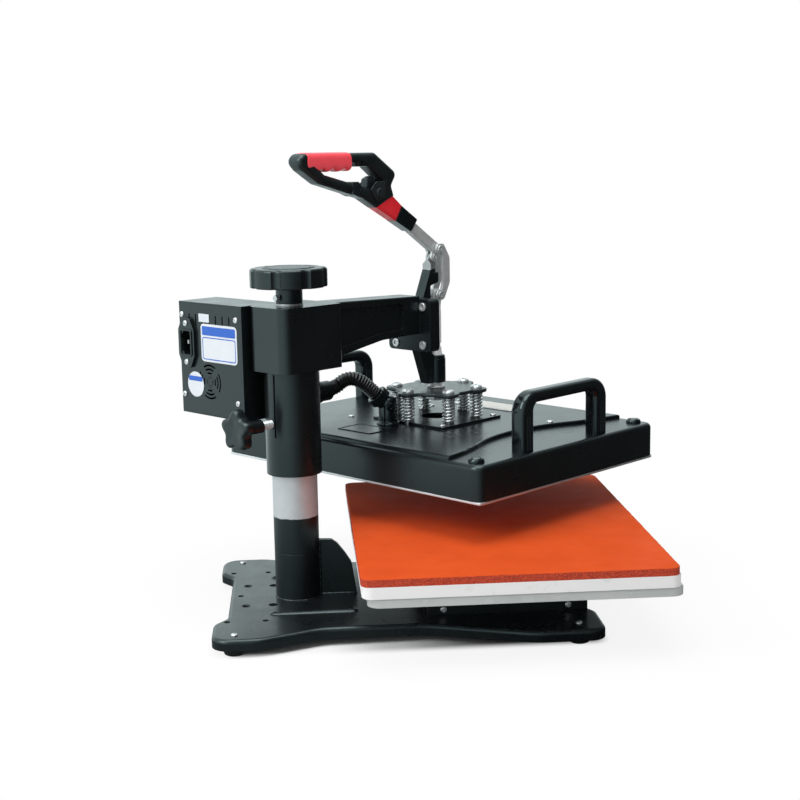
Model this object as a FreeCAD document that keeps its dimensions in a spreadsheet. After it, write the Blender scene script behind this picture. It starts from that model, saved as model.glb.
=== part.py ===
import FreeCAD, Part
import math
import os
import re
import Sketcher

# Combo heat press, in millimetres. Up is +Z and the operator stands at -Y, so +X is the operator's
# right. The post's axis is X = Y = 0 while the pieces are made. Everything that swings is made with
# the arm straight out to the front and is then turned about the post by swing_angle. In the head,
# "out" is the distance from the post along the arm, which is -Y, and +X is the control box's side.

doc = FreeCAD.newDocument("combo_heat_press")
sheet = doc.addObject("Spreadsheet::Sheet", "Sizes")
aliases = []
pieces = []


def size(alias, value, meaning):
    """Put one driving dimension in the sheet."""
    aliases.append(alias)
    row = str(len(aliases))
    sheet.set("A" + row, meaning)
    sheet.set("B" + row, str(value))
    sheet.setAlias("B" + row, alias)


# Clearances and sheet metal
size("fit_gap", 0.05, "radial gap of a fit or a running shaft")
size("free_gap", 0.3, "gap between faces that move past each other")
size("plate_wall", 2.0, "sheet of the base plate and the tray")
size("cover_wall", 2.0, "wall of the platen cover")
size("case_wall", 1.5, "sheet of the control box")

# Base plate
size("base_top", 17.7, "height of the base plate's top")
size("base_skirt", 7.0, "height of the lower edge of the turned-down rim")
size("base_round", 4.0, "rounding of the rolled rim")
size("base_front", 289.0, "front edge of the front toes, from the post")
size("base_front_notch", 14.0, "depth of the front notch between the toes")
size("base_back", 82.0, "back edge of the back toes")
size("base_back_notch", 69.0, "back edge between the toes")
size("toe_front_half", 146.0, "half width at the front toes")
size("toe_back_half", 134.0, "half width at the back toes")
size("toe_front_inner", 90.0, "inner end of a front toe")
size("toe_back_inner", 84.0, "inner end of a back toe")
size("notch_half", 66.0, "half width of the notch between the toes")
size("waist_half", 110.0, "half width at the waist")
size("waist_back", 22.0, "back end of the waist, ahead of the post")
size("waist_front", 122.0, "front end of the waist")
size("toe_back_end", 36.0, "where a back toe's side starts to slant in")
size("toe_front_end", 67.0, "length of a front toe's straight side")
size("bench_hole", 3.0, "radius of the four bench holes")
size("bench_hole_half", 80.25, "half spacing of the bench holes across")
size("bench_hole_back", 69.0, "rear pair of bench holes")
size("bench_hole_front", 32.0, "front pair of bench holes")
size("socket_hole", 5.0, "radius of the attachment holes beside the post")
size("socket_hole_half", 32.0, "half spacing of the attachment holes")
size("socket_hole_back", 25.0, "attachment holes, behind the post's axis")
size("dimple_half", 33.0, "half spacing of the countersunk holes")
size("dimple_back", 52.0, "countersunk holes, behind the post's axis")
size("bead_half", 60.0, "half spacing of the pressed beads")
size("bead_radius", 7.0, "radius of a pressed bead's back")
size("bead_rise", 2.2, "height of a pressed bead")
size("bead_back", 24.0, "back end of a pressed bead")
size("bead_front", 54.0, "front end of a pressed bead, ahead of the post")

# Feet and small screws
size("foot_radius", 10.5, "radius of a rubber foot")
size("foot_back_half", 119.5, "half spacing of the back feet")
size("foot_back", 60.5, "back feet, behind the post's axis")
size("foot_front_half", 125.5, "half spacing of the front feet")
size("foot_front", 24.0, "front feet, behind the front edge of the base")
size("screw_shank", 2.4, "shank radius of the base's screws")
size("screw_head", 4.4, "head radius of the base's screws")
size("screw_rise", 2.0, "head height of the base's screws")

# Post
size("post_radius", 22.7, "outside of the post")
size("post_wall", 3.5, "wall of the post")
size("post_top", 268.0, "top of the post, inside the sleeve")
size("post_floor", 12.0, "plug welded in the post's foot")
size("post_seam", 65.0, "height of the weld line round the post")
size("seam_depth", 0.5, "depth of the line at the weld")
size("anchor_radius", 6.0, "bolt that holds the post")
size("anchor_head", 10.0, "radius of the anchor bolt's head")
size("anchor_head_height", 6.0, "height of the anchor bolt's head")
size("anchor_washer", 17.0, "radius of the anchor washer")
size("anchor_washer_thick", 2.5, "thickness of the anchor washer")
size("gusset_thick", 6.0, "thickness of the upright gusset")
size("gusset_length", 60.0, "front end of the gusset")
size("gusset_height", 75.0, "top of the gusset")

# Lower bed
size("support_half", 87.0, "half width of the support channel")
size("support_back", 124.0, "back end of the support channel")
size("support_front", 281.0, "front end of the support channel")
size("support_wall", 2.5, "sheet of the support channel")
size("rail_half", 45.0, "half spacing of the inner rails")
size("bed_screw_half", 66.0, "half spacing of the tray screws")
size("bed_screw_back", 150.0, "rear tray screws")
size("bed_screw_front", 255.0, "front tray screws")
size("wall_screw_back", 140.0, "rear screw in the channel's wall")
size("wall_screw_front", 262.0, "front screw in the channel's wall")
size("tray_top", 69.5, "top of the tray")
size("tray_rim", 8.5, "height of the tray's folded rim")
size("tray_length", 288.0, "tray, front to back")
size("tray_width", 378.0, "tray, side to side")
size("tray_corner", 12.0, "corner radius of the tray")
size("tray_centre", 206.0, "middle of the tray, ahead of the post")
size("pad_length", 290.0, "silicone pad and board, front to back")
size("pad_width", 380.0, "silicone pad and board, side to side")
size("pad_corner", 10.0, "corner radius of the pad and board")
size("board_thick", 11.1, "thickness of the white board")
size("board_centre", 202.0, "middle of the board, ahead of the post")
size("pad_thick", 7.3, "thickness of the silicone pad")
size("pad_centre", 201.0, "middle of the pad, ahead of the post")

# Lift screw and thrust bearing
size("nut_thick", 15.0, "lift nut in the post's top")
size("screw_radius", 8.0, "lift screw")
size("screw_low", 205.0, "lower end of the lift screw")
size("screw_step", 3.0, "thickness of the shoulder under the bearing")
size("race_outer", 16.0, "outside radius of the bearing's races")
size("race_thick", 2.6, "thickness of a race")
size("ball_radius", 2.2, "bearing balls")
size("ball_circle", 12.2, "radius of the circle of balls")
size("neck_radius", 6.0, "lift screw inside the knob's hub")
size("neck_ring", 13.6, "radius of the bright ring under the hub")
size("neck_ring_thick", 2.0, "thickness of the bright ring")
size("hub_radius", 13.25, "hub of the lift knob")
size("hub_height", 16.0, "height of the hub")
size("lift_knob_radius", 38.3, "lift knob over its lobes")
size("lift_knob_height", 19.0, "height of the lift knob's head")
size("lift_notch_radius", 7.0, "hollows round the lift knob")
size("lift_notch_depth", 2.6, "depth of a hollow in the lift knob")
size("lift_notch_turn", 15.0, "turn of the first hollow, degrees")
size("lift_knob_round", 3.0, "rounding of the lift knob's upper edge")
size("lift_knob_edge", 1.6, "rounding of the lift knob's lower edge")

# Sleeve and collar box
size("swing_angle", 41.5, "how far the head is swung to the side, degrees")
size("sleeve_wall", 4.7, "wall of the swing sleeve")
size("sleeve_low", 145.8, "lower end of the swing sleeve")
size("slit_width", 2.0, "width of the clamp slit")
size("slit_offset", 4.5, "slit, to the side of the clamp bolt")
size("slit_low", 185.0, "lower end of the clamp slit")
size("slit_high", 248.0, "upper end of the clamp slit")
size("collar_side_wall", 1.3, "side wall of the collar box beside the sleeve")
size("collar_back_wall", 4.3, "wall of the collar box behind the sleeve")
size("collar_front_wall", 16.3, "wall of the collar box ahead of the sleeve")
size("collar_low", 250.0, "underside of the collar box")
size("collar_top", 314.0, "top of the collar box")
size("collar_roof", 8.0, "thickness of the collar box's roof")
size("collar_back_round", 12.0, "rear corners of the collar box")
size("collar_front_round", 4.0, "front corners of the collar box")
size("clamp_height", 198.0, "height of the clamp bolt")
size("clamp_side", 2.0, "clamp bolt, to the left of the arm's line")
size("clamp_radius", 4.75, "clamp bolt")
size("clamp_hub", 7.0, "radius of the clamp knob's hub")
size("clamp_hub_start", 40.0, "front face of the clamp knob's hub, behind the post's axis")
size("clamp_hub_length", 23.0, "length of the clamp knob's hub")
size("clamp_star", 21.0, "clamp knob over its lobes")
size("clamp_star_thick", 12.0, "thickness of the clamp knob's star")
size("clamp_lobe", 6.6, "radius of one lobe of the clamp knob")

# Arm
size("arm_half", 15.5, "half width of the arm")
size("arm_end", 170.0, "front end of the arm")
size("arm_end_top", 309.7, "top of the arm at its front end")
size("arm_end_low", 269.0, "underside of the arm at its front end")
size("recess_depth", 3.0, "depth of the hollows in the arm's sides")
size("recess_start", 5.0, "hollow in the arm's side, ahead of the collar box")
size("recess_end", 145.0, "front end of the hollow in the arm's side")
size("recess_top", 306.0, "top of the hollow in the arm's side")
size("end_plate_half", 31.0, "half width of the arm's end plate")
size("end_plate_thick", 6.0, "thickness of the arm's end plate")
size("end_plate_low", 250.0, "underside of the end plate")
size("end_plate_top", 306.5, "top of the end plate")
size("end_plate_corner", 5.0, "corner radius of the end plate")
size("flange_thick", 8.0, "flange of the toggle casting")
size("flange_screw_half", 20.0, "half spacing of the flange screws")
size("flange_screw_low", 257.0, "lower flange screws")
size("flange_screw_high", 298.0, "upper flange screws")
size("flange_screw", 3.0, "shank radius of the flange screws")
size("flange_head", 4.3, "head radius of the flange screws")
size("flange_head_height", 4.0, "head height of the flange screws")

# Toggle
size("press_centre", 211.0, "plunger's axis, from the post")
size("web_half", 6.0, "half thickness of the casting's web and tower")
size("boss_wall", 2.5, "wall of the guide boss round its bush")
size("boss_low", 211.0, "underside of the guide boss")
size("boss_top", 237.0, "top of the guide boss")
size("bush_wall", 1.65, "wall of the guide bush")
size("bush_lip", 2.0, "how far the bush's lip stands out round it")
size("bush_lip_thick", 4.0, "thickness of the bush's lip")
size("fulcrum_out", 206.5, "fulcrum pin, from the post")
size("fulcrum_height", 348.5, "fulcrum pin's height")
size("crank_length", 9.62, "from the fulcrum to the links' upper pin")
size("crank_angle", 62.1, "crank's angle with the lever open, degrees")
size("link_length", 50.0, "from pin to pin of a link")
size("tang_half", 1.8, "half thickness of the fulcrum tang")
size("cheek_inner", 2.0, "inner face of a fork cheek")
size("cheek_outer", 4.5, "outer face of a fork cheek")
size("link_inner", 4.8, "inner face of a link")
size("link_outer", 8.3, "outer face of a link")
size("pin_radius", 2.5, "fulcrum pin")
size("link_pin_radius", 2.8, "links' upper pin")
size("pin_head", 3.2, "heads of the fulcrum pin")
size("pin_head_outer", 6.0, "outer face of the fulcrum pin's heads")
size("link_eye", 5.7, "radius of a link's eyes")
size("link_head", 4.0, "heads of the links' screws")
size("link_head_outer", 10.5, "outer face of the links' screw heads")
size("plunger_radius", 6.5, "plunger rod")
size("plunger_shoulder", 296.0, "top of the round plunger rod")
size("plunger_eye", 10.5, "radius of the plunger's eye")

# Pressure plate and springs
size("plate_top", 204.6, "top of the pressure plate")
size("plate_thick", 4.0, "thickness of the pressure plate")
size("plate_lobe", 11.8, "radius of a lobe of the pressure plate")
size("plate_core", 45.0, "radius of the pressure plate between its lobes")
size("plunger_collar", 3.5, "how far the plunger's collar stands out round it")
size("plunger_collar_thick", 2.4, "thickness of the plunger's collar")
size("plunger_nut", 12.0, "radius of the nut under the plate, over its corners")
size("plunger_nut_thick", 8.0, "thickness of the nut under the plate")
size("spring_circle", 45.0, "radius of the circle of springs")
size("spring_outer", 7.35, "outside radius of a spring")
size("spring_wire", 1.1, "radius of the spring wire")
size("spring_turns", 6, "turns of a spring")
size("guide_shank", 4.0, "shank radius of a shoulder screw")
size("guide_head", 6.5, "head radius of a shoulder screw")
size("guide_head_height", 4.4, "head height of a shoulder screw")

# Floating platen
size("platen_low", 128.1, "underside of the heat plate")
size("heat_band", 2.4, "part of the heat plate that shows below the cover")
size("heat_inset", 3.0, "inset of the part of the heat plate inside the cover")
size("heat_inner_thick", 6.0, "part of the heat plate inside the cover")
size("platen_length", 290.0, "platen along the arm")
size("platen_width", 380.0, "platen across the arm")
size("cover_deck", 166.0, "lower level of the cover's top")
size("cover_field", 170.0, "raised field of the cover's top")
size("cover_corner", 12.0, "corner radius of the cover")
size("cover_round", 5.0, "rounding of the cover's upper edge")
size("field_waist", 78.0, "inset of the raised field at its middle")
size("field_shoulder", 60.0, "inset of the raised field part of the way out")
size("field_shoulder_out", 80.0, "distance of that place from the middle")
size("field_end", 44.0, "inset of the raised field's sides at its ends")
size("field_end_inset", 4.0, "inset of the raised field's ends")
size("element_radius", 3.4, "heating element tube")
size("element_bend", 22.0, "radius of the element's bends")
size("element_inset", 40.0, "inset of the ends of the element's runs")
size("insulation_thick", 12.0, "insulation over the element")
size("spring_plate_gap", 0.5, "gap between the elbow's flange and the spring base plate")
size("spring_plate_front", 260.0, "front edge of the spring base plate")
size("spring_plate_half", 53.5, "half width of the spring base plate")
size("spring_plate_thick", 2.5, "thickness of the spring base plate")
size("spring_plate_corner", 4.0, "corner radius of the spring base plate")
size("spring_plate_hole", 17.0, "hole in the middle of the spring base plate")
size("handle_inset", 16.0, "middle of a platen handle, in from the platen's side")
size("handle_back", 139.0, "back of a platen handle")
size("handle_front", 279.0, "front of a platen handle")
size("handle_leg", 19.0, "leg of a handle along the arm")
size("handle_half", 9.0, "half width of a handle")
size("handle_top", 226.0, "top of a handle")
size("handle_inner_top", 213.5, "underside of a handle's bar")
size("handle_corner", 22.0, "outer corners of a handle")
size("handle_inner_corner", 8.0, "inner corners of a handle")
size("handle_round", 3.5, "rounding of a handle's edges")
size("cap_end_inset", 15.0, "corner caps, in from the platen's ends")
size("cap_side_inset", 18.0, "corner caps, in from the platen's sides")
size("cap_radius", 8.0, "radius of a corner cap")
size("cap_rise", 4.0, "height of a corner cap")

# Hose and its elbow
size("elbow_out", 150.0, "elbow, from the post along the arm")
size("elbow_side", 15.0, "elbow, to the control box's side")
size("elbow_wall", 2.5, "wall of the elbow outside the hose's ribs")
size("elbow_bend", 190.0, "height of the elbow's bend")
size("elbow_flange", 2.0, "how far the elbow's flange stands out round it")
size("elbow_flange_thick", 3.0, "thickness of the elbow's flange")
size("elbow_nut_wall", 3.5, "wall of the elbow's nut outside the hose's ribs")
size("elbow_nut_length", 10.0, "length of the elbow's nut")
size("elbow_neck", 12.0, "from the elbow's bend to its nut")
size("hose_crest", 8.0, "outside radius of the hose's ribs")
size("hose_root", 6.9, "radius of the hose between its ribs")
size("hose_bore", 5.8, "bore of the hose")
size("hose_pitch", 3.0, "pitch of the hose's ribs")
size("gland_wall", 4.0, "wall of the gland outside the hose's ribs")
size("gland_cap_wall", 2.6, "wall of the gland's cap outside the hose's ribs")
size("gland_cap_start", 80.0, "start of the gland's cap, from the post")
size("gland_end", 94.0, "mouth of the gland, from the post")
size("gland_side", 50.0, "gland, to the control box's side")
size("gland_height", 211.0, "height of the gland's axis")

# Control box
size("case_back", 38.0, "rear of the control box, behind the post's axis")
size("case_width", 100.0, "width of the control box")
size("case_low", 198.5, "underside of the control box")
size("case_top", 314.0, "top of the control box")
size("case_top_front", 11.0, "front end of the control box's top")
size("case_low_front", 60.0, "front end of the control box's underside")
size("panel_screw_head", 3.0, "heads of the panel screws")
size("panel_screw_shank", 1.5, "shanks of the panel screws")
size("panel_screw_rise", 1.6, "height of a panel screw's head")
size("vent_width", 1.8, "width of a vent slot")
size("vent_low", 289.0, "lower end of the vent slots")
size("vent_high", 302.0, "upper end of the vent slots")
size("vent_count", 7, "number of vent slots")
size("vent_start", 19.4, "first vent slot, from the case's near side")
size("vent_pitch", 10.7, "spacing of the vent slots")
size("inlet_side", 115.5, "mains inlet, to the side of the arm's line")
size("inlet_height", 272.0, "height of the mains inlet")
size("inlet_pitch", 40.0, "spacing of the inlet's two screws")
size("inlet_half", 12.8, "half width of the inlet's flange")
size("inlet_flange_half", 26.0, "half height of the inlet's flange")
size("inlet_flange_thick", 3.0, "thickness of the inlet's flange")
size("inlet_mouth_half", 7.6, "half width of the inlet's mouth")
size("inlet_mouth_rise", 12.0, "half height of the inlet's mouth")
size("inlet_wall", 2.0, "wall round the inlet's mouth")
size("inlet_depth", 18.0, "depth of the inlet's mouth")
size("fan_side", 82.6, "fan, to the side of the arm's line")
size("fan_height", 233.8, "height of the fan's axis")
size("fan_half", 20.0, "half width of the fan's frame")
size("fan_thick", 10.0, "thickness of the fan")
size("fan_bore", 18.5, "opening of the fan's frame")
size("fan_blade", 17.8, "radius of the fan's blades")
size("fan_hub", 7.0, "radius of the fan's hub")
size("fan_pin", 1.5, "radius of the fan's pin")
size("fan_bar_thick", 1.5, "bar that carries the fan's pin")
size("blade_thick", 1.2, "thickness of a fan blade")
size("grille_slot", 1.8, "width of a grille slot")
size("button_radius", 4.5, "radius of a push button")
size("button_spacing", 17.0, "spacing of the push buttons")
size("button_rise", 1.8, "how far a push button stands out of the panel")
size("display_half", 26.0, "half width of the display window")
size("display_rise", 13.0, "half height of the display window")
size("rocker_half", 10.5, "half width of the power switch")
size("rocker_rise", 6.5, "half height of the power switch")

# Lever
size("lever_half", 4.5, "half thickness of the lever's bar")
size("lever_bar", 5.8, "half height of the lever's bar")
size("socket_half", 7.5, "half thickness of the lever's socket")
size("sleeve_half", 8.0, "half thickness of the red sleeve")
size("grip_half", 10.0, "half thickness of the grip frame")
size("grip_cover_half", 11.0, "half thickness of the grip cover")
size("grip_top", 461.0, "top of the grip")
size("grip_core_half", 7.0, "half thickness of the grip's core inside its cover")
size("grip_cover_rise", 0.8, "grip cover above the grip's top")
size("grip_cover_drop", 16.5, "lower edge of the grip cover, below the grip's top")
size("scallop_radius", 12.0, "finger hollows under the grip cover")
size("scallop_depth", 2.4, "depth of a finger hollow")
size("scallop_spacing", 15.5, "spacing of the finger hollows")
size("trigger_half", 5.0, "half thickness of the grip trigger")

doc.recompute()
TURNS = {
    "up": FreeCAD.Rotation(),
    "across": FreeCAD.Rotation(FreeCAD.Vector(0, 1, 0), 90),
    "out": FreeCAD.Rotation(FreeCAD.Vector(1, 0, 0), 90),
}


def val(alias):
    """One size as a number."""
    return float(sheet.get(alias))


def bound(expression):
    """Write the plain names in an expression as cells of the sheet."""
    words = re.split(r"([A-Za-z_]+)", str(expression))
    return "".join("Sizes." + word if word in aliases else word for word in words)


def place(obj, x, y, z):
    """Bind an object's place to the sheet."""
    obj.setExpression("Placement.Base.x", bound(x))
    obj.setExpression("Placement.Base.y", bound(y))
    obj.setExpression("Placement.Base.z", bound(z))
    return obj


def box(name, across, out, height):
    """A block between pairs of limits: across is X, out is towards the front, height is Z."""
    obj = doc.addObject("Part::Box", name)
    obj.setExpression("Length", bound("(%s) - (%s)" % (across[1], across[0])))
    obj.setExpression("Width", bound("(%s) - (%s)" % (out[1], out[0])))
    obj.setExpression("Height", bound("(%s) - (%s)" % (height[1], height[0])))
    return place(obj, across[0], "-(%s)" % out[1], height[0])


def on_axis(obj, start, centre, axis):
    """Put a round solid on an axis, from a start, at a centre given by its other two coordinates."""
    obj.Placement = FreeCAD.Placement(FreeCAD.Vector(), TURNS[axis])
    if axis == "up":
        return place(obj, centre[0], "-(%s)" % centre[1], start)
    if axis == "across":
        return place(obj, start, "-(%s)" % centre[0], centre[1])
    return place(obj, centre[0], "-(%s)" % start, centre[1])


def rod(name, radius, limits, centre, axis="up"):
    """A round bar between two limits. Centre is across and out, out and height, or across and height."""
    obj = doc.addObject("Part::Cylinder", name)
    obj.setExpression("Radius", bound(radius))
    obj.setExpression("Height", bound("(%s) - (%s)" % (limits[1], limits[0])))
    return on_axis(obj, limits[0], centre, axis)


def cone(name, first, last, limits, centre, axis="up"):
    """A tapered round bar."""
    obj = doc.addObject("Part::Cone", name)
    obj.setExpression("Radius1", bound(first))
    obj.setExpression("Radius2", bound(last))
    obj.setExpression("Height", bound("(%s) - (%s)" % (limits[1], limits[0])))
    return on_axis(obj, limits[0], centre, axis)


def ball(name, radius, centre):
    """A sphere at across, out and height."""
    obj = doc.addObject("Part::Sphere", name)
    obj.setExpression("Radius", bound(radius))
    return place(obj, centre[0], "-(%s)" % centre[1], centre[2])


def fuse(name, parts):
    """One solid from several."""
    obj = doc.addObject("Part::MultiFuse", name)
    obj.Shapes = parts
    return obj


def group(name, parts):
    """Separate solids kept together."""
    obj = doc.addObject("Part::Compound", name)
    obj.Links = parts
    return obj


def cut(name, base, tools):
    """Take several tools away from a base."""
    obj = doc.addObject("Part::Cut", name)
    obj.Base = base
    obj.Tool = tools[0] if len(tools) == 1 else fuse(name + "_tools", tools)
    return obj


def ring(name, outer, inner, limits, centre, axis="up"):
    """A tube."""
    solid = rod(name + "_outer", outer, limits, centre, axis)
    hole = rod(name + "_inner", inner, limits, centre, axis)
    return cut(name, solid, [hole])


def unit(vector):
    """A vector's direction."""
    return vector * (1.0 / vector.Length)


def rounded_wire(corners):
    """A closed wire through corners, each with a point and the radius that rounds it."""
    count = len(corners)
    starts = []
    middles = []
    ends = []
    for index in range(count):
        here, radius = corners[index]
        if radius <= 0:
            starts.append(here)
            middles.append(None)
            ends.append(here)
            continue
        back = unit(corners[index - 1][0] - here)
        ahead = unit(corners[(index + 1) % count][0] - here)
        half = back.getAngle(ahead) / 2
        reach = radius / math.tan(half)
        inward = unit(back + ahead)
        starts.append(here + back * reach)
        middles.append(here + inward * (radius / math.sin(half) - radius))
        ends.append(here + ahead * reach)
    edges = []
    for index in range(count):
        if middles[index] is not None:
            edges.append(Part.Arc(starts[index], middles[index], ends[index]).toShape())
        following = starts[(index + 1) % count]
        if (following - ends[index]).Length > 0.001:
            edges.append(Part.LineSegment(ends[index], following).toShape())
    return Part.Wire(edges)


def outline(name, points, plane):
    """An outline drawn on a plane. A point is two coordinates and, where it is rounded, a radius."""
    corners = []
    for point in points:
        radius = point[2] if len(point) > 2 else 0
        if plane == "plan":
            spot = FreeCAD.Vector(point[0], -point[1], 0)
        elif plane == "side":
            spot = FreeCAD.Vector(0, -point[0], point[1])
        else:
            spot = FreeCAD.Vector(point[0], 0, point[1])
        corners.append((spot, radius))
    obj = doc.addObject("Part::Feature", name)
    obj.Shape = rounded_wire(corners)
    return obj


def extrude(name, profile, plane, limits):
    """A solid from a profile: plan goes up, side goes across, face goes out."""
    obj = doc.addObject("Part::Extrusion", name)
    obj.Base = profile
    obj.DirMode = "Custom"
    obj.Solid = True
    obj.setExpression("LengthFwd", bound("(%s) - (%s)" % (limits[1], limits[0])))
    if plane == "plan":
        obj.Dir = FreeCAD.Vector(0, 0, 1)
        return place(obj, 0, 0, limits[0])
    if plane == "side":
        obj.Dir = FreeCAD.Vector(1, 0, 0)
        return place(obj, limits[0], 0, 0)
    obj.Dir = FreeCAD.Vector(0, -1, 0)
    return place(obj, 0, "-(%s)" % limits[0], 0)


def prism(name, points, plane, limits):
    """A straight solid with a drawn outline."""
    return extrude(name, outline(name + "_outline", points, plane), plane, limits)


def inset(name, profile, amount):
    """The same outline, drawn in by an amount."""
    obj = doc.addObject("Part::Offset2D", name)
    obj.Source = profile
    obj.Join = 2
    obj.setExpression("Value", bound("-(%s)" % amount))
    return obj


def round_edges(name, base, radius, chosen):
    """Round the edges of a solid that a test picks."""
    doc.recompute()
    picked = []
    for index, edge in enumerate(base.Shape.Edges):
        if chosen(edge):
            picked.append((index + 1, radius, radius))
    obj = doc.addObject("Part::Fillet", name)
    obj.Base = base
    obj.Edges = picked
    return obj


def at_height(height):
    """A test for the edges that lie at one height."""
    return lambda edge: all(abs(vertex.Z - height) < 0.01 for vertex in edge.Vertexes)


def upright(edge):
    """A test for vertical straight edges."""
    return len(edge.Vertexes) == 2 and abs(edge.tangentAt(edge.FirstParameter).z) > 0.999


def plate(name, length, width, thickness, centre, low, corner):
    """A flat block with rounded corners: length is out, width is across, centre is across and out."""
    body = doc.addObject("PartDesign::Body", name)
    sketch = body.newObject("Sketcher::SketchObject", name + "_sketch")
    planes = [item for item in body.Origin.OriginFeatures if item.Role == "XY_Plane"]
    sketch.AttachmentSupport = [(planes[0], "")]
    sketch.MapMode = "FlatFace"
    sketch.setExpression("AttachmentOffset.Base.x", bound(centre[0]))
    sketch.setExpression("AttachmentOffset.Base.y", bound("-(%s)" % centre[1]))
    sketch.setExpression("AttachmentOffset.Base.z", bound(low))
    spots = [(-1, -1), (1, -1), (1, 1), (-1, 1)]
    for index in range(4):
        start = FreeCAD.Vector(*spots[index])
        end = FreeCAD.Vector(*spots[(index + 1) % 4])
        sketch.addGeometry(Part.LineSegment(start, end))
    for index in range(4):
        sketch.addConstraint(Sketcher.Constraint("Coincident", index, 2, (index + 1) % 4, 1))
    for index in (0, 2):
        sketch.addConstraint(Sketcher.Constraint("Horizontal", index))
    for index in (1, 3):
        sketch.addConstraint(Sketcher.Constraint("Vertical", index))
    sketch.addConstraint(Sketcher.Constraint("Symmetric", 0, 1, 1, 2, -1, 1))
    across = sketch.addConstraint(Sketcher.Constraint("DistanceX", 0, 1, 0, 2, 2))
    out = sketch.addConstraint(Sketcher.Constraint("DistanceY", 1, 1, 1, 2, 2))
    sketch.setExpression("Constraints[%d]" % across, bound(width))
    sketch.setExpression("Constraints[%d]" % out, bound(length))
    pad = body.newObject("PartDesign::Pad", name + "_pad")
    pad.Profile = sketch
    pad.setExpression("Length", bound(thickness))
    body.Tip = pad
    if corner:
        doc.recompute()
        names = []
        for index, edge in enumerate(pad.Shape.Edges):
            if upright(edge):
                names.append("Edge%d" % (index + 1))
        fillet = body.newObject("PartDesign::Fillet", name + "_corners")
        fillet.Base = (pad, names)
        fillet.setExpression("Radius", bound(corner))
        body.Tip = fillet
    return body


def hexagon(radius, across, out):
    """The corners of a nut."""
    points = []
    for index in range(6):
        turn = math.radians(60 * index)
        points.append((across + radius * math.cos(turn), out + radius * math.sin(turn)))
    return points


def piece(node, parts, swings=False):
    """One finished node. What belongs to the head is turned with it at the end."""
    obj = group(node, parts)
    obj.Label = node
    pieces.append((obj, swings))


# Base plate: a pressed sheet with its rim turned down
def base_corners():
    """Right half of the base's outline from the back to the front, then the left half mirrored."""
    right = [
        (val("notch_half"), -val("base_back_notch"), 16),
        (val("toe_back_inner"), -val("base_back"), 14),
        (val("toe_back_half"), -val("base_back"), 18),
        (val("toe_back_half"), -val("toe_back_end"), 40),
        (val("waist_half"), val("waist_back"), 50),
        (val("waist_half"), val("waist_front"), 60),
        (val("toe_front_half"), val("base_front") - val("toe_front_end"), 60),
        (val("toe_front_half"), val("base_front"), 16),
        (val("toe_front_inner"), val("base_front"), 14),
        (val("notch_half"), val("base_front") - val("base_front_notch"), 20),
    ]
    left = [(-across, out, radius) for across, out, radius in reversed(right)]
    return right + left


base_outline = outline("base_outline", base_corners(), "plan")
base_block = extrude("base_block", base_outline, "plan", ("base_skirt", "base_top"))
base_rolled = round_edges("base_rolled", base_block, val("base_round"), at_height(val("base_top")))
base_inner_outline = inset("base_inner_outline", base_outline, "plate_wall")
base_inner = extrude("base_inner", base_inner_outline, "plan", ("base_skirt - 1", "base_top - plate_wall"))
base_shell = cut("base_shell", base_rolled, [base_inner])
base_beads = []
for side in ("-", ""):
    bead_x = side + "bead_half"
    bead_z = "base_top + bead_rise - bead_radius"
    name = "bead_left" if side else "bead_right"
    base_beads.append(rod(name, "bead_radius", ("-bead_back", "bead_front"), (bead_x, bead_z), "out"))
    base_beads.append(ball(name + "_back", "bead_radius", (bead_x, "-bead_back", bead_z)))
    base_beads.append(ball(name + "_front", "bead_radius", (bead_x, "bead_front", bead_z)))
bead_block = fuse("bead_block", base_beads)
bead_floor = box("bead_floor", (-200, 200), (-100, 100), (-20, "base_top - plate_wall / 2"))
bead_caps = cut("bead_caps", bead_block, [bead_floor])
base_pressed = fuse("base_pressed", [base_shell, bead_caps])

FOOT_SPOTS = [
    ("-foot_back_half", "-foot_back"),
    ("foot_back_half", "-foot_back"),
    ("-foot_front_half", "base_front - foot_front"),
    ("foot_front_half", "base_front - foot_front"),
]
BED_SPOTS = [
    ("-bed_screw_half", "bed_screw_back"),
    ("bed_screw_half", "bed_screw_back"),
    ("-bed_screw_half", "bed_screw_front"),
    ("bed_screw_half", "bed_screw_front"),
]
THROUGH_BASE = (0, "base_top + 5")
base_holes = []
for number, spot in enumerate(FOOT_SPOTS):
    base_holes.append(rod("foot_hole_%d" % number, "screw_shank + fit_gap", THROUGH_BASE, spot))
for number, spot in enumerate([
    ("-bench_hole_half", "-bench_hole_back"),
    ("bench_hole_half", "-bench_hole_back"),
    ("-bench_hole_half", "-bench_hole_front"),
    ("bench_hole_half", "-bench_hole_front"),
    (0, "-bench_hole_back + 10.5"),
]):
    base_holes.append(rod("bench_hole_%d" % number, "bench_hole", THROUGH_BASE, spot))
for number, side in enumerate(("-", "")):
    spot = (side + "socket_hole_half", "-socket_hole_back")
    base_holes.append(rod("socket_hole_%d" % number, "socket_hole", THROUGH_BASE, spot))
    spot = (side + "dimple_half", "-dimple_back")
    base_holes.append(rod("dimple_hole_%d" % number, "bench_hole", THROUGH_BASE, spot))
    limits = ("base_top - plate_wall / 2", "base_top + 0.2")
    base_holes.append(cone("dimple_%d" % number, "bench_hole", "bench_hole * 1.8", limits, spot))
base_holes.append(rod("anchor_hole", "anchor_radius + fit_gap", THROUGH_BASE, (0, 0)))
piece("base_plate", [cut("base_drilled", base_pressed, base_holes)])

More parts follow.
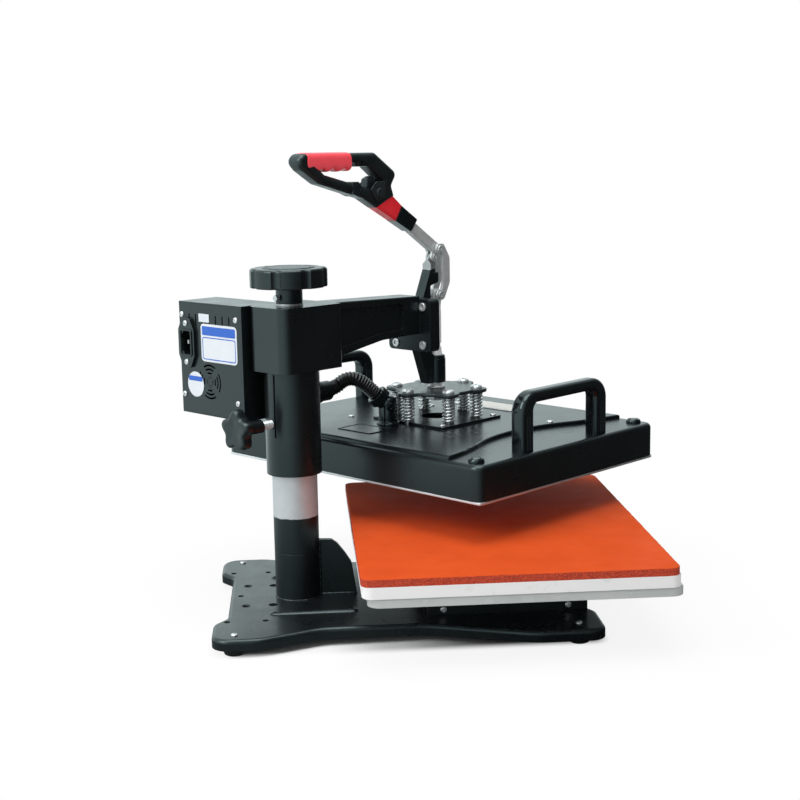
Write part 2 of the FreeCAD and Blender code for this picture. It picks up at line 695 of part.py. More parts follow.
# Feet, the base's screws and the screws of the lower bed
feet = []
base_screws = []
for number, spot in enumerate(FOOT_SPOTS):
    foot = rod("foot_%d" % number, "foot_radius", (0, "base_top - plate_wall"), spot)
    hole = rod("foot_bore_%d" % number, "screw_shank + fit_gap", (5, "base_top"), spot)
    feet.append(cut("foot_bored_%d" % number, foot, [hole]))
    head = rod("foot_head_%d" % number, "screw_head", ("base_top", "base_top + screw_rise"), spot)
    shank = rod("foot_shank_%d" % number, "screw_shank", (6, "base_top"), spot)
    base_screws.append(fuse("foot_screw_%d" % number, [head, shank]))
for number, spot in enumerate(BED_SPOTS):
    under = "tray_top - plate_wall - support_wall"
    head = rod("bed_head_%d" % number, "screw_head", (under + " - screw_rise", under), spot)
    shank = rod("bed_shank_%d" % number, "screw_shank", (under, "tray_top"), spot)
    base_screws.append(fuse("bed_screw_%d" % number, [head, shank]))
WALL_SPOTS = []
for side in (-1, 1):
    for distance in ("wall_screw_back", "wall_screw_front"):
        WALL_SPOTS.append((side, (distance, "base_top + 6")))
for number, (side, spot) in enumerate(WALL_SPOTS):
    if side > 0:
        head_limits = ("support_half", "support_half + screw_rise")
        shank_limits = ("support_half - 8", "support_half")
    else:
        head_limits = ("-support_half - screw_rise", "-support_half")
        shank_limits = ("-support_half", "-support_half + 8")
    head = rod("wall_head_%d" % number, "screw_head", head_limits, spot, "across")
    shank = rod("wall_shank_%d" % number, "screw_shank", shank_limits, spot, "across")
    base_screws.append(fuse("wall_screw_%d" % number, [head, shank]))
piece("rubber_feet", feet)
piece("base_screws", base_screws)

# Post with its plug, weld line and anchor bolt
post_outer = rod("post_outer", "post_radius", ("base_top", "post_top"), (0, 0))
post_bore = rod("post_bore", "post_radius - post_wall", ("base_top + post_floor", "post_top"), (0, 0))
post_thread = rod("post_thread", "anchor_radius + fit_gap", ("base_top", "base_top + post_floor"), (0, 0))
seam = ring("post_seam_ring", "post_radius + 1", "post_radius - seam_depth",
            ("post_seam", "post_seam + 0.8"), (0, 0))
piece("post_tube", [cut("post_cut", post_outer, [post_bore, post_thread, seam])])

UNDER_PLATE = "base_top - plate_wall"
WASHER_LOW = "base_top - plate_wall - anchor_washer_thick"
anchor_washer = ring("anchor_washer_ring", "anchor_washer", "anchor_radius + fit_gap",
                     (WASHER_LOW, UNDER_PLATE), (0, 0))
anchor_head = prism("anchor_head_block", hexagon(val("anchor_head"), 0, 0), "plan",
                    (WASHER_LOW + " - anchor_head_height", WASHER_LOW))
anchor_shank = rod("anchor_shank", "anchor_radius", (WASHER_LOW, "base_top + post_floor"), (0, 0))
piece("anchor_bolt", [anchor_washer, fuse("anchor_bolt_solid", [anchor_head, anchor_shank])])

# Gusset: an upright plate between the post and the base
gusset_points = [
    (val("post_radius") - 3, val("base_top")),
    (val("gusset_length"), val("base_top")),
    (val("gusset_length") - 5, val("gusset_height") - 25, 10),
    (val("gusset_length") - 12, val("gusset_height") - 14, 10),
    (val("gusset_length") - 19, val("gusset_height") - 5, 8),
    (val("gusset_length") - 25, val("gusset_height") - 0.5, 5),
    (val("post_radius") - 3, val("gusset_height")),
]
gusset_block = prism("gusset_block", gusset_points, "side", ("-gusset_thick / 2", "gusset_thick / 2"))
gusset_trim = rod("gusset_trim", "post_radius", (0, "gusset_height + 5"), (0, 0))
piece("post_gusset", [cut("gusset_cut", gusset_block, [gusset_trim])])

# Support channel under the lower bed
support_length = ("support_back", "support_front")
SUPPORT_TOP = "tray_top - plate_wall"
support_parts = [
    box("support_deck", ("-support_half", "support_half"), support_length,
        (SUPPORT_TOP + " - support_wall", SUPPORT_TOP)),
]
for name, side in (("left", -1), ("right", 1)):
    inner = "%d * (support_half - support_wall)" % side
    outer = "%d * support_half" % side
    limits = (outer, inner) if side < 0 else (inner, outer)
    support_parts.append(box("support_wall_" + name, limits, support_length, ("base_top", SUPPORT_TOP)))
    rail = ("%d * rail_half - support_wall / 2" % side, "%d * rail_half + support_wall / 2" % side)
    support_parts.append(box("support_rail_" + name, rail, support_length, ("base_top", SUPPORT_TOP)))
support_solid = fuse("support_solid", support_parts)
support_holes = []
for number, spot in enumerate(BED_SPOTS):
    limits = ("tray_top - 12", "tray_top + 1")
    support_holes.append(rod("bed_hole_%d" % number, "screw_shank + fit_gap", limits, spot))
for number, (side, spot) in enumerate(WALL_SPOTS):
    middle = "%d * support_half" % side
    limits = (middle + " - 5", middle + " + 5")
    hole = rod("wall_hole_%d" % number, "screw_shank + fit_gap", limits, spot, "across")
    support_holes.append(hole)
piece("platen_support", [cut("support_drilled", support_solid, support_holes)])

# Lower bed: folded tray, white board and silicone pad
tray_block = plate("tray_block", "tray_length", "tray_width", "tray_rim", (0, "tray_centre"),
                   "tray_top - tray_rim", "tray_corner")
tray_rolled = round_edges("tray_rolled", tray_block, 2.0, at_height(val("tray_top")))
tray_hollow = plate("tray_hollow", "tray_length - 2 * plate_wall", "tray_width - 2 * plate_wall",
                    "tray_rim", (0, "tray_centre"), "tray_top - tray_rim - plate_wall",
                    "tray_corner - plate_wall")
tray_holes = []
for number, spot in enumerate(BED_SPOTS):
    limits = ("tray_top - 5", "tray_top + 1")
    tray_holes.append(rod("tray_hole_%d" % number, "screw_shank + fit_gap", limits, spot))
piece("lower_tray", [cut("tray_cut", tray_rolled, [tray_hollow] + tray_holes)])
piece("pad_board", [plate("board_block", "pad_length", "pad_width", "board_thick",
                          (0, "board_centre"), "tray_top", "pad_corner")])
piece("silicone_pad", [plate("pad_block", "pad_length", "pad_width", "pad_thick",
                             (0, "pad_centre"), "tray_top + board_thick", "pad_corner")])

# Lift: nut in the post, screw through the bearing, and the knob that turns it
piece("lift_nut", [ring("lift_nut_ring", "post_radius - post_wall - fit_gap", "screw_radius + fit_gap",
                        ("post_top - nut_thick", "post_top"), (0, 0))])

ROOF = "collar_top - collar_roof"
BEARING_HEIGHT = "(2 * race_thick + 2 * ball_radius + 4 * fit_gap)"
BEARING_LOW = ROOF + " - " + BEARING_HEIGHT
race_low = ring("race_low", "race_outer", "screw_radius + 0.5",
                (BEARING_LOW + " + fit_gap", BEARING_LOW + " + fit_gap + race_thick"), (0, 0))
race_high = ring("race_high", "race_outer", "screw_radius + 0.5",
                 (ROOF + " - fit_gap - race_thick", ROOF + " - fit_gap"), (0, 0))
bearing = [race_low, race_high]
BALL_COUNT = 10
for number in range(BALL_COUNT):
    turn = 360.0 * number / BALL_COUNT
    spot = ("ball_circle * cos(%g deg)" % turn, "ball_circle * sin(%g deg)" % turn,
            BEARING_LOW + " + 2 * fit_gap + race_thick + ball_radius")
    bearing.append(ball("bearing_ball_%d" % number, "ball_radius", spot))
piece("thrust_bearing", bearing, swings=True)

RING_TOP = "collar_top + 2 * fit_gap + neck_ring_thick"
KNOB_LOW = RING_TOP + " + hub_height"
KNOB_TOP = KNOB_LOW + " + lift_knob_height"
screw_parts = [
    rod("screw_thread", "screw_radius", ("screw_low", "collar_top + 2 * fit_gap"), (0, 0)),
    rod("screw_shoulder", "race_outer", (BEARING_LOW + " - screw_step", BEARING_LOW), (0, 0)),
    rod("screw_ring", "neck_ring", ("collar_top + 2 * fit_gap", RING_TOP), (0, 0)),
    rod("screw_neck", "neck_radius", (RING_TOP, KNOB_LOW + " + 10"), (0, 0)),
]
piece("lift_screw", [fuse("screw_solid", screw_parts)], swings=True)

NOTCHES = 8
knob_head = rod("knob_head", "lift_knob_radius", (KNOB_LOW, KNOB_TOP), (0, 0))
knob_notches = []
for number in range(NOTCHES):
    turn = 360.0 / NOTCHES * number
    away = "(lift_knob_radius + lift_notch_radius - lift_notch_depth)"
    angle = "((%g + lift_notch_turn) * 1 deg)" % turn
    spot = ("%s * cos(%s)" % (away, angle), "%s * sin(%s)" % (away, angle))
    limits = (KNOB_LOW + " - 1", KNOB_TOP + " + 1")
    knob_notches.append(rod("knob_notch_%d" % number, "lift_notch_radius", limits, spot))
knob_lobed = cut("knob_lobed", knob_head, knob_notches)
knob_top_height = val("collar_top") + 2 * val("fit_gap") + val("neck_ring_thick") + val("hub_height")
knob_low_round = round_edges("knob_low_round", knob_lobed, val("lift_knob_edge"), at_height(knob_top_height))
knob_top_round = round_edges("knob_top_round", knob_low_round, val("lift_knob_round"),
                             at_height(knob_top_height + val("lift_knob_height")))
knob_hub = rod("knob_hub", "hub_radius", (RING_TOP, KNOB_LOW + " + 2"), (0, 0))
knob_solid = fuse("knob_solid", [knob_top_round, knob_hub])
knob_bore = rod("knob_bore", "neck_radius + fit_gap", (RING_TOP, KNOB_LOW + " + 10"), (0, 0))
SET_HEIGHT = RING_TOP + " + 6"
set_hole = rod("set_hole", "panel_screw_shank + fit_gap", ("-hub_radius - 2", "-neck_radius"),
               (0, SET_HEIGHT), "out")
piece("lift_knob", [cut("knob_cut", knob_solid, [knob_bore, set_hole])], swings=True)
set_shank = rod("set_shank", "panel_screw_shank", ("-hub_radius - 3", "-neck_radius - fit_gap"),
                (0, SET_HEIGHT), "out")
set_head = rod("set_head", "panel_screw_shank * 2", ("-hub_radius - 5.5", "-hub_radius - 3"),
               (0, SET_HEIGHT), "out")
piece("knob_set_screw", [fuse("set_screw_solid", [set_shank, set_head])], swings=True)

# Swing sleeve and collar box
SLEEVE_RADIUS = "(post_radius + free_gap + sleeve_wall)"
COLLAR_HALF = "(" + SLEEVE_RADIUS + " + collar_side_wall)"
COLLAR_BACK = "(" + SLEEVE_RADIUS + " + collar_back_wall)"
COLLAR_FRONT = "(" + SLEEVE_RADIUS + " + collar_front_wall)"
sleeve_radius = val("post_radius") + val("free_gap") + val("sleeve_wall")
collar_half = sleeve_radius + val("collar_side_wall")
collar_front = sleeve_radius + val("collar_front_wall")
sleeve = ring("sleeve_tube", SLEEVE_RADIUS, "post_radius + free_gap", ("sleeve_low", ROOF), (0, 0))
slit = box("clamp_slit", ("-slit_offset - slit_width / 2", "-slit_offset + slit_width / 2"),
           ("-%s - 3" % SLEEVE_RADIUS, "-post_radius + 5"), ("slit_low", "slit_high"))
CLAMP_SPOT = ("clamp_side", "clamp_height")
clamp_hole = rod("clamp_hole", "clamp_radius + fit_gap",
                 ("-%s - 3" % SLEEVE_RADIUS, "-post_radius + 3"), CLAMP_SPOT, "out")
piece("swing_sleeve", [cut("sleeve_cut", sleeve, [slit, clamp_hole])], swings=True)

collar_block = box("collar_block", ("-" + COLLAR_HALF, COLLAR_HALF), ("-" + COLLAR_BACK, COLLAR_FRONT),
                   ("collar_low", "collar_top"))
collar_rear = round_edges("collar_rear", collar_block, val("collar_back_round"),
                          lambda edge: upright(edge) and edge.Vertexes[0].Y > 0)
collar_soft = round_edges("collar_soft", collar_rear, val("collar_front_round"),
                          lambda edge: upright(edge) and edge.Vertexes[0].Y < -collar_front + 0.1)
collar_bore = rod("collar_bore", SLEEVE_RADIUS + " + fit_gap", ("collar_low - 1", ROOF), (0, 0))
collar_hole = rod("collar_hole", "screw_radius + 0.5", (ROOF, "collar_top + 1"), (0, 0))
piece("collar_box", [cut("collar_cut", collar_soft, [collar_bore, collar_hole])], swings=True)

# Arm with its end plate
arm_points = [
    (collar_front, val("collar_low") + 7),
    (collar_front + 16, val("collar_low") + 9, 20),
    (val("arm_end") - 80, val("arm_end_low") - 5, 60),
    (val("arm_end") - 55, val("arm_end_low") - 1, 60),
    (val("arm_end"), val("arm_end_low")),
    (val("arm_end"), val("arm_end_top")),
    (collar_front, val("collar_top") - 0.5),
]
arm_block = prism("arm_block", arm_points, "side", ("-arm_half", "arm_half"))
arm_edges = round_edges("arm_edges", arm_block, 2.0,
                        lambda edge: abs(edge.tangentAt(edge.FirstParameter).x) < 0.01
                        and abs(edge.tangentAt(edge.FirstParameter).z) < 0.5)
recess_points = [
    (collar_front + val("recess_start"), val("recess_top"), 3),
    (val("recess_end"), val("recess_top") - 2.6, 3),
    (val("recess_end"), val("arm_end_low") + 8, 3),
    (val("arm_end") - 55, val("arm_end_low") + 7, 60),
    (val("arm_end") - 80, val("arm_end_low") + 3, 60),
    (collar_front + val("recess_start"), val("collar_low") + 16, 3),
]
recess_left = prism("recess_left", recess_points, "side", ("-arm_half - 2", "-arm_half + recess_depth"))
recess_right = prism("recess_right", recess_points, "side", ("arm_half - recess_depth", "arm_half + 2"))
arm_hollowed = cut("arm_hollowed", arm_edges, [recess_left, recess_right])


def end_plate_points():
    """A rectangle with rounded corners, for the end plate and the casting's flange."""
    half = val("end_plate_half")
    radius = val("end_plate_corner")
    return [
        (-half, val("end_plate_low"), radius),
        (half, val("end_plate_low"), radius),
        (half, val("end_plate_top"), radius),
        (-half, val("end_plate_top"), radius),
    ]


end_plate = prism("end_plate", end_plate_points(), "face", ("arm_end", "arm_end + end_plate_thick"))
arm_solid = fuse("arm_solid", [arm_hollowed, end_plate])
FLANGE_START = "arm_end + end_plate_thick"
FLANGE_END = "arm_end + end_plate_thick + flange_thick"
FLANGE_SPOTS = [
    ("-flange_screw_half", "flange_screw_low"),
    ("flange_screw_half", "flange_screw_low"),
    ("-flange_screw_half", "flange_screw_high"),
    ("flange_screw_half", "flange_screw_high"),
]
arm_holes = []
flange_holes = []
flange_screws = []
for number, spot in enumerate(FLANGE_SPOTS):
    name = "flange_screw_%d" % number
    bore = "flange_screw + fit_gap"
    arm_holes.append(rod(name + "_arm", bore, ("arm_end - 1", FLANGE_START), spot, "out"))
    flange_holes.append(rod(name + "_hole", bore, (FLANGE_START, FLANGE_END), spot, "out"))
    head = rod(name + "_head", "flange_head", ("arm_end - flange_head_height", "arm_end"), spot, "out")
    shank = rod(name + "_shank", "flange_screw", ("arm_end", FLANGE_END), spot, "out")
    flange_screws.append(fuse(name, [head, shank]))
piece("head_arm", [cut("arm_drilled", arm_solid, arm_holes)], swings=True)
piece("casting_screws", flange_screws, swings=True)

# Toggle casting: flange, web, guide boss and fulcrum tower
BUSH_RADIUS = "(plunger_radius + fit_gap + bush_wall)"
LIP_RADIUS = "(" + BUSH_RADIUS + " + bush_lip)"
flange = prism("flange", end_plate_points(), "face", (FLANGE_START, FLANGE_END))
web_points = [
    (val("arm_end") + 8, val("end_plate_low") + 4),
    (val("press_centre") - 18, val("boss_low")),
    (val("press_centre") - 4, val("boss_low")),
    (val("press_centre") - 4, val("boss_top")),
    (val("press_centre") - 13, val("boss_top") + 8, 6),
    (val("press_centre") - 13, val("end_plate_top") + 11.5, 2),
    (val("press_centre") - 0.5, val("end_plate_top") + 14.5, 2),
    (val("press_centre") - 0.5, val("fulcrum_height") - 12.5),
    (val("fulcrum_out") - 8, val("fulcrum_height") - 12.5),
    (val("arm_end") + 16, val("end_plate_top")),
    (val("arm_end") + 8, val("end_plate_top") - 6),
]
web = prism("web", web_points, "side", ("-web_half", "web_half"))
boss = rod("boss", BUSH_RADIUS + " + fit_gap + boss_wall", ("boss_low", "boss_top"), (0, "press_centre"))
tower_points = [
    (-val("web_half"), val("fulcrum_height") - 12.5),
    (val("web_half"), val("fulcrum_height") - 12.5),
    (val("web_half"), val("fulcrum_height") - 7.5),
    (val("tang_half"), val("fulcrum_height") - 3.5),
    (-val("tang_half"), val("fulcrum_height") - 3.5),
    (-val("web_half"), val("fulcrum_height") - 7.5),
]
tower_tip = prism("tower_tip", tower_points, "face", ("fulcrum_out - 8", "press_centre - 0.5"))
FULCRUM = ("fulcrum_out", "fulcrum_height")
tang_points = [
    (val("fulcrum_out") - 8, val("fulcrum_height") - 14),
    (val("fulcrum_out") - 8, val("fulcrum_height") - 3.5),
    (val("fulcrum_out") - 3.6, val("fulcrum_height") + 2.6),
    (val("fulcrum_out") + 4.4, val("fulcrum_height") - 1),
    (val("fulcrum_out") + 4, val("fulcrum_height") - 14),
]
tang = prism("tang", tang_points, "side", ("-tang_half", "tang_half"))
tang_eye = rod("tang_eye", "pin_radius + 2", ("-tang_half", "tang_half"), FULCRUM, "across")
casting = fuse("casting_solid", [flange, web, boss, tower_tip, tang, tang_eye])

# The fork and the links swing past the tower here, so it is milled down to the tang.
fork_rooms = []
for name, side in (("left", -1), ("right", 1)):
    near = "%d * (tang_half + fit_gap)" % side
    far = "%d * (web_half + 2)" % side
    limits = (near, far) if side > 0 else (far, near)
    swing = rod("fork_swing_" + name, "crank_length + link_eye + 2", limits, FULCRUM, "across")
    keep = box("fork_keep_" + name, limits, ("fulcrum_out - 40", "fulcrum_out - link_eye - free_gap"),
               ("fulcrum_height - 40", "fulcrum_height + 40"))
    heel = rod("fork_heel_" + name, "pin_radius + 2.8 + free_gap", limits, FULCRUM, "across")
    fork_rooms.append(fuse("fork_room_" + name, [cut("fork_half_" + name, swing, [keep]), heel]))
casting_holes = flange_holes + fork_rooms + [
    rod("boss_bore", BUSH_RADIUS + " + fit_gap", ("boss_low - 2", "boss_top + 1"), (0, "press_centre")),
    rod("tang_hole", "pin_radius + fit_gap", ("-web_half", "web_half"), FULCRUM, "across"),
    rod("lip_room", LIP_RADIUS + " + free_gap", ("boss_top", "boss_top + 14"), (0, "press_centre")),
]
piece("toggle_casting", [cut("casting_cut", casting, casting_holes)], swings=True)

bush_tube = rod("bush_tube", BUSH_RADIUS, ("boss_low", "boss_top"), (0, "press_centre"))
bush_flange = rod("bush_flange", LIP_RADIUS, ("boss_top", "boss_top + bush_lip_thick"),
                  (0, "press_centre"))
bush_bore = rod("bush_bore", "plunger_radius + fit_gap", ("boss_low", "boss_top + bush_lip_thick"),
                (0, "press_centre"))
bush_solid = fuse("bush_solid", [bush_tube, bush_flange])
piece("guide_bush", [cut("bush_cut", bush_solid, [bush_bore])], swings=True)

pin_parts = [
    rod("fulcrum_rod", "pin_radius", ("-pin_head_outer", "pin_head_outer"), FULCRUM, "across"),
    rod("fulcrum_head_left", "pin_head", ("-pin_head_outer", "-cheek_outer - fit_gap"), FULCRUM, "across"),
    rod("fulcrum_head_right", "pin_head", ("cheek_outer + fit_gap", "pin_head_outer"), FULCRUM, "across"),
]
piece("fulcrum_pin", [fuse("fulcrum_solid", pin_parts)], swings=True)

# Clamp knob behind the sleeve
clamp_bolt = rod("clamp_bolt_rod", "clamp_radius", ("-clamp_hub_start - 12", "-post_radius - free_gap"),
                 CLAMP_SPOT, "out")
piece("clamp_bolt", [clamp_bolt], swings=True)
HUB_END = "-clamp_hub_start - clamp_hub_length"
clamp_hub = rod("clamp_hub_rod", "clamp_hub", (HUB_END, "-clamp_hub_start"), CLAMP_SPOT, "out")
clamp_core = rod("clamp_core", "clamp_star - clamp_lobe - 2", (HUB_END + " - clamp_star_thick", HUB_END),
                 CLAMP_SPOT, "out")
star_parts = [clamp_hub, clamp_core]
for number in range(5):
    turn = 72.0 * number + 90
    away = "(clamp_star - clamp_lobe)"
    spot = ("clamp_side + %s * cos(%g deg)" % (away, turn),
            "clamp_height + %s * sin(%g deg)" % (away, turn))
    limits = (HUB_END + " - clamp_star_thick", HUB_END)
    star_parts.append(rod("clamp_lobe_%d" % number, "clamp_lobe", limits, spot, "out"))
clamp_star = fuse("clamp_star_solid", star_parts)
clamp_bore = rod("clamp_bore", "clamp_radius + fit_gap", ("-clamp_hub_start - 12", "-clamp_hub_start + 1"),
                 CLAMP_SPOT, "out")
piece("clamp_knob", [cut("clamp_knob_cut", clamp_star, [clamp_bore])], swings=True)

# Control box: a folded case with a sloped front and a flat rear panel
CASE_NEAR = COLLAR_HALF
CASE_FAR = "(" + COLLAR_HALF + " + case_width)"
case_points = [
    (-val("case_back"), val("case_low")),
    (-val("case_back"), val("case_top")),
    (val("case_top_front"), val("case_top")),
    (val("case_low_front"), val("case_low")),
]
case_outline = outline("case_outline", case_points, "side")
case_block = extrude("case_block", case_outline, "side", (CASE_NEAR, CASE_FAR))
case_inner_outline = inset("case_inner_outline", case_outline, "case_wall")
case_inner = extrude("case_inner", case_inner_outline, "side",
                     (CASE_NEAR + " + case_wall", CASE_FAR + " - case_wall"))
case_mouth = box("case_mouth", (CASE_NEAR + " + case_wall", CASE_FAR + " - case_wall"),
                 ("-case_back - 1", "-case_back + 3"),
                 ("case_low + case_wall", "case_top - case_wall"))

# The sloped front carries the display, the buttons and the power switch
slope_run = val("case_low_front") - val("case_top_front")
slope_drop = val("case_top") - val("case_low")
slope_length = math.hypot(slope_run, slope_drop)
face_down = FreeCAD.Vector(0, -slope_run / slope_length, -slope_drop / slope_length)
face_out = FreeCAD.Vector(0, -slope_drop / slope_length, slope_run / slope_length)
face_top = FreeCAD.Vector(collar_half + val("case_width") / 2, -val("case_top_front"), val("case_top"))

# Places on the slope: down it from its top edge, and to the right of its middle
DISPLAY_DOWN = 30.0
BUTTON_DOWN = 62.0
BUTTON_SHIFT = 8.0
ROCKER_DOWN = 88.0
ROCKER_SHIFT = 26.0
THROUGH_FACE = (-5, 2)


def on_face(obj, across, down, out):
    """Put a solid on the sloped front: its X is across, its Y up the slope and its Z out of it."""
    turn = FreeCAD.Rotation(FreeCAD.Vector(1, 0, 0), face_down * -1, face_out, "ZXY")
    obj.Placement = FreeCAD.Placement(face_top + FreeCAD.Vector(across, 0, 0) + face_down * down
                                      + face_out * out, turn)
    return obj


def face_block(name, half, rise, across, down, limits):
    """A block on the sloped front, between two depths."""
    obj = doc.addObject("Part::Box", name)
    obj.setExpression("Length", bound("2 * (%s)" % half))
    obj.setExpression("Width", bound("2 * (%s)" % rise))
    obj.Height = limits[1] - limits[0]
    doc.recompute()
    return on_face(obj, across - obj.Length.Value / 2, down + obj.Width.Value / 2, limits[0])


def face_rod(name, radius, across, down, limits):
    """A round solid on the sloped front, between two depths."""
    obj = doc.addObject("Part::Cylinder", name)
    obj.setExpression("Radius", bound(radius))
    obj.Height = limits[1] - limits[0]
    return on_face(obj, across, down, limits[0])


BUTTON_COUNT = 3
button_places = [(number - 1) * val("button_spacing") + BUTTON_SHIFT for number in range(BUTTON_COUNT)]
case_cuts = [
    face_block("display_hole", "display_half", "display_rise", 0, DISPLAY_DOWN, THROUGH_FACE),
    face_block("rocker_hole", "rocker_half", "rocker_rise", ROCKER_SHIFT, ROCKER_DOWN, THROUGH_FACE),
]
for number, across in enumerate(button_places):
    case_cuts.append(face_rod("button_hole_%d" % number, "button_radius + free_gap", across, BUTTON_DOWN,
                              THROUGH_FACE))
GLAND_SPOT = ("gland_side", "gland_height")
GLAND_THREAD = "(hose_crest + 1.1)"
case_cuts.append(rod("gland_hole", GLAND_THREAD + " + 0.1", (30, "case_low_front + 20"), GLAND_SPOT, "out"))
case_cuts.append(fuse("case_room", [case_inner, case_mouth]))
# The rear panel's screws, from the near or far side of the case and from its top or underside
PANEL_SPOTS = [
    (CASE_FAR + " - 4.6", "case_top - 13.5"),
    (CASE_NEAR + " + 8.9", "case_top - 14.2"),
    (CASE_FAR + " - 4.5", "case_low + 19"),
    (CASE_NEAR + " + 9.2", "case_low + 17.4"),
]
case_shell = cut("case_shell_cut", case_block, case_cuts)
piece("control_shell", [case_shell], swings=True)

# Rear panel, set in the mouth of the case
PANEL_BACK = "-case_back"
PANEL_FRONT = "-case_back + case_wall"
THROUGH_PANEL = ("-case_back - 2", "-case_back + 5")
panel = box("panel", (CASE_NEAR + " + case_wall + fit_gap", CASE_FAR + " - case_wall - fit_gap"),
            (PANEL_BACK, PANEL_FRONT),
            ("case_low + case_wall + fit_gap", "case_top - case_wall - fit_gap"))
panel_cuts = []
for number in range(int(val("vent_count"))):
    across = CASE_NEAR + " + vent_start + %d * vent_pitch" % number
    panel_cuts.append(box("vent_%d" % number, (across + " - vent_width / 2", across + " + vent_width / 2"),
                          THROUGH_PANEL, ("vent_low", "vent_high")))
for number, spot in enumerate(PANEL_SPOTS):
    panel_cuts.append(rod("panel_hole_%d" % number, "panel_screw_shank + fit_gap",
                          THROUGH_PANEL, spot, "out"))
INLET_SPOTS = [
    ("inlet_side", "inlet_height - inlet_pitch / 2"),
    ("inlet_side", "inlet_height + inlet_pitch / 2"),
]
for number, spot in enumerate(INLET_SPOTS):
    panel_cuts.append(rod("inlet_screw_hole_%d" % number, "panel_screw_shank + fit_gap",
                          THROUGH_PANEL, spot, "out"))
panel_cuts.append(box("inlet_hole", ("inlet_side - inlet_mouth_half - inlet_wall - fit_gap",
                                     "inlet_side + inlet_mouth_half + inlet_wall + fit_gap"),
                      THROUGH_PANEL,
                      ("inlet_height - inlet_mouth_rise - inlet_wall - fit_gap",
                       "inlet_height + inlet_mouth_rise + inlet_wall + fit_gap")))
FAN_SPOT = ("fan_side", "fan_height")
GRILLE_RADII = (5.0, 9.0, 13.0, 17.0)
GRILLE_BAR_LENGTH = 22.0
GRILLE_BAR_WIDTH = 7.0
for number, radius in enumerate(GRILLE_RADII):
    panel_cuts.append(ring("grille_%d" % number, "%g + grille_slot / 2" % radius,
                           "%g - grille_slot / 2" % radius, THROUGH_PANEL, FAN_SPOT, "out"))
grille_bars = []
for number in range(4):
    bar = doc.addObject("Part::Box", "grille_bar_%d" % number)
    bar.Length = GRILLE_BAR_LENGTH
    bar.Width = val("case_wall")
    bar.Height = GRILLE_BAR_WIDTH
    turn = FreeCAD.Rotation(FreeCAD.Vector(0, 1, 0), 45 + 90 * number)
    start = turn.multVec(FreeCAD.Vector(0, 0, -bar.Height.Value / 2))
    middle = FreeCAD.Vector(val("fan_side"), val("case_back") - val("case_wall"), val("fan_height"))
    bar.Placement = FreeCAD.Placement(middle + start, turn)
    grille_bars.append(bar)
panel_cut = cut("panel_cut", panel, panel_cuts)
piece("control_panel", [fuse("panel_solid", [panel_cut] + grille_bars)], swings=True)

panel_screws = []
for number, spot in enumerate(PANEL_SPOTS):
    head = rod("panel_head_%d" % number, "panel_screw_head",
               ("-case_back - panel_screw_rise", "-case_back"), spot, "out")
    shank = rod("panel_shank_%d" % number, "panel_screw_shank",
                ("-case_back", "-case_back + 6"), spot, "out")
    panel_screws.append(fuse("panel_screw_%d" % number, [head, shank]))
for number, spot in enumerate(INLET_SPOTS):
    front = "-case_back - inlet_flange_thick"
    head = rod("inlet_head_%d" % number, "panel_screw_head",
               (front + " - panel_screw_rise", front), spot, "out")
    shank = rod("inlet_shank_%d" % number, "panel_screw_shank",
                (front, "-case_back + 6"), spot, "out")
    panel_screws.append(fuse("inlet_screw_%d" % number, [head, shank]))
piece("panel_screws", panel_screws, swings=True)

# Mains inlet with three pins
inlet_points = [
    (val("inlet_side") - 6, val("inlet_height") - val("inlet_flange_half"), 5),
    (val("inlet_side") + 6, val("inlet_height") - val("inlet_flange_half"), 5),
    (val("inlet_side") + val("inlet_half"), val("inlet_height") - 13, 4),
    (val("inlet_side") + val("inlet_half"), val("inlet_height") + 13, 4),
    (val("inlet_side") + 6, val("inlet_height") + val("inlet_flange_half"), 5),
    (val("inlet_side") - 6, val("inlet_height") + val("inlet_flange_half"), 5),
    (val("inlet_side") - val("inlet_half"), val("inlet_height") + 13, 4),
    (val("inlet_side") - val("inlet_half"), val("inlet_height") - 13, 4),
]
inlet_flange = prism("inlet_flange", inlet_points, "face", ("-case_back - inlet_flange_thick", "-case_back"))
inlet_body = box("inlet_body", ("inlet_side - inlet_mouth_half - inlet_wall",
                                "inlet_side + inlet_mouth_half + inlet_wall"),
                 ("-case_back", "-case_back + inlet_depth"),
                 ("inlet_height - inlet_mouth_rise - inlet_wall",
                  "inlet_height + inlet_mouth_rise + inlet_wall"))
mouth_half = val("inlet_mouth_half")
mouth_rise = val("inlet_mouth_rise")
mouth_points = [
    (val("inlet_side") - mouth_half, val("inlet_height") - mouth_rise, 1),
    (val("inlet_side") + mouth_half - 4, val("inlet_height") - mouth_rise, 1),
    (val("inlet_side") + mouth_half, val("inlet_height") - mouth_rise + 4, 1),
    (val("inlet_side") + mouth_half, val("inlet_height") + mouth_rise - 4, 1),
    (val("inlet_side") + mouth_half - 4, val("inlet_height") + mouth_rise, 1),
    (val("inlet_side") - mouth_half, val("inlet_height") + mouth_rise, 1),
]
inlet_mouth = prism("inlet_mouth", mouth_points, "face",
                    ("-case_back - inlet_flange_thick - 1", "-case_back + inlet_depth - 3"))
inlet_screw_holes = []
for number, spot in enumerate(INLET_SPOTS):
    inlet_screw_holes.append(rod("flange_hole_%d" % number, "panel_screw_shank + fit_gap",
                                 ("-case_back - 5", "-case_back + 1"), spot, "out"))
inlet_shell = cut("inlet_shell", fuse("inlet_solid", [inlet_flange, inlet_body]),
                  [inlet_mouth] + inlet_screw_holes)
inlet_pins = []
for number, (across, rise) in enumerate([(-2, -7), (2, 0), (-2, 7)]):
    inlet_pins.append(box("inlet_pin_%d" % number,
                          ("inlet_side + %g - 1" % across, "inlet_side + %g + 1" % across),
                          ("-case_back + 6", "-case_back + inlet_depth"),
                          ("inlet_height + %g - 2" % rise, "inlet_height + %g + 2" % rise)))
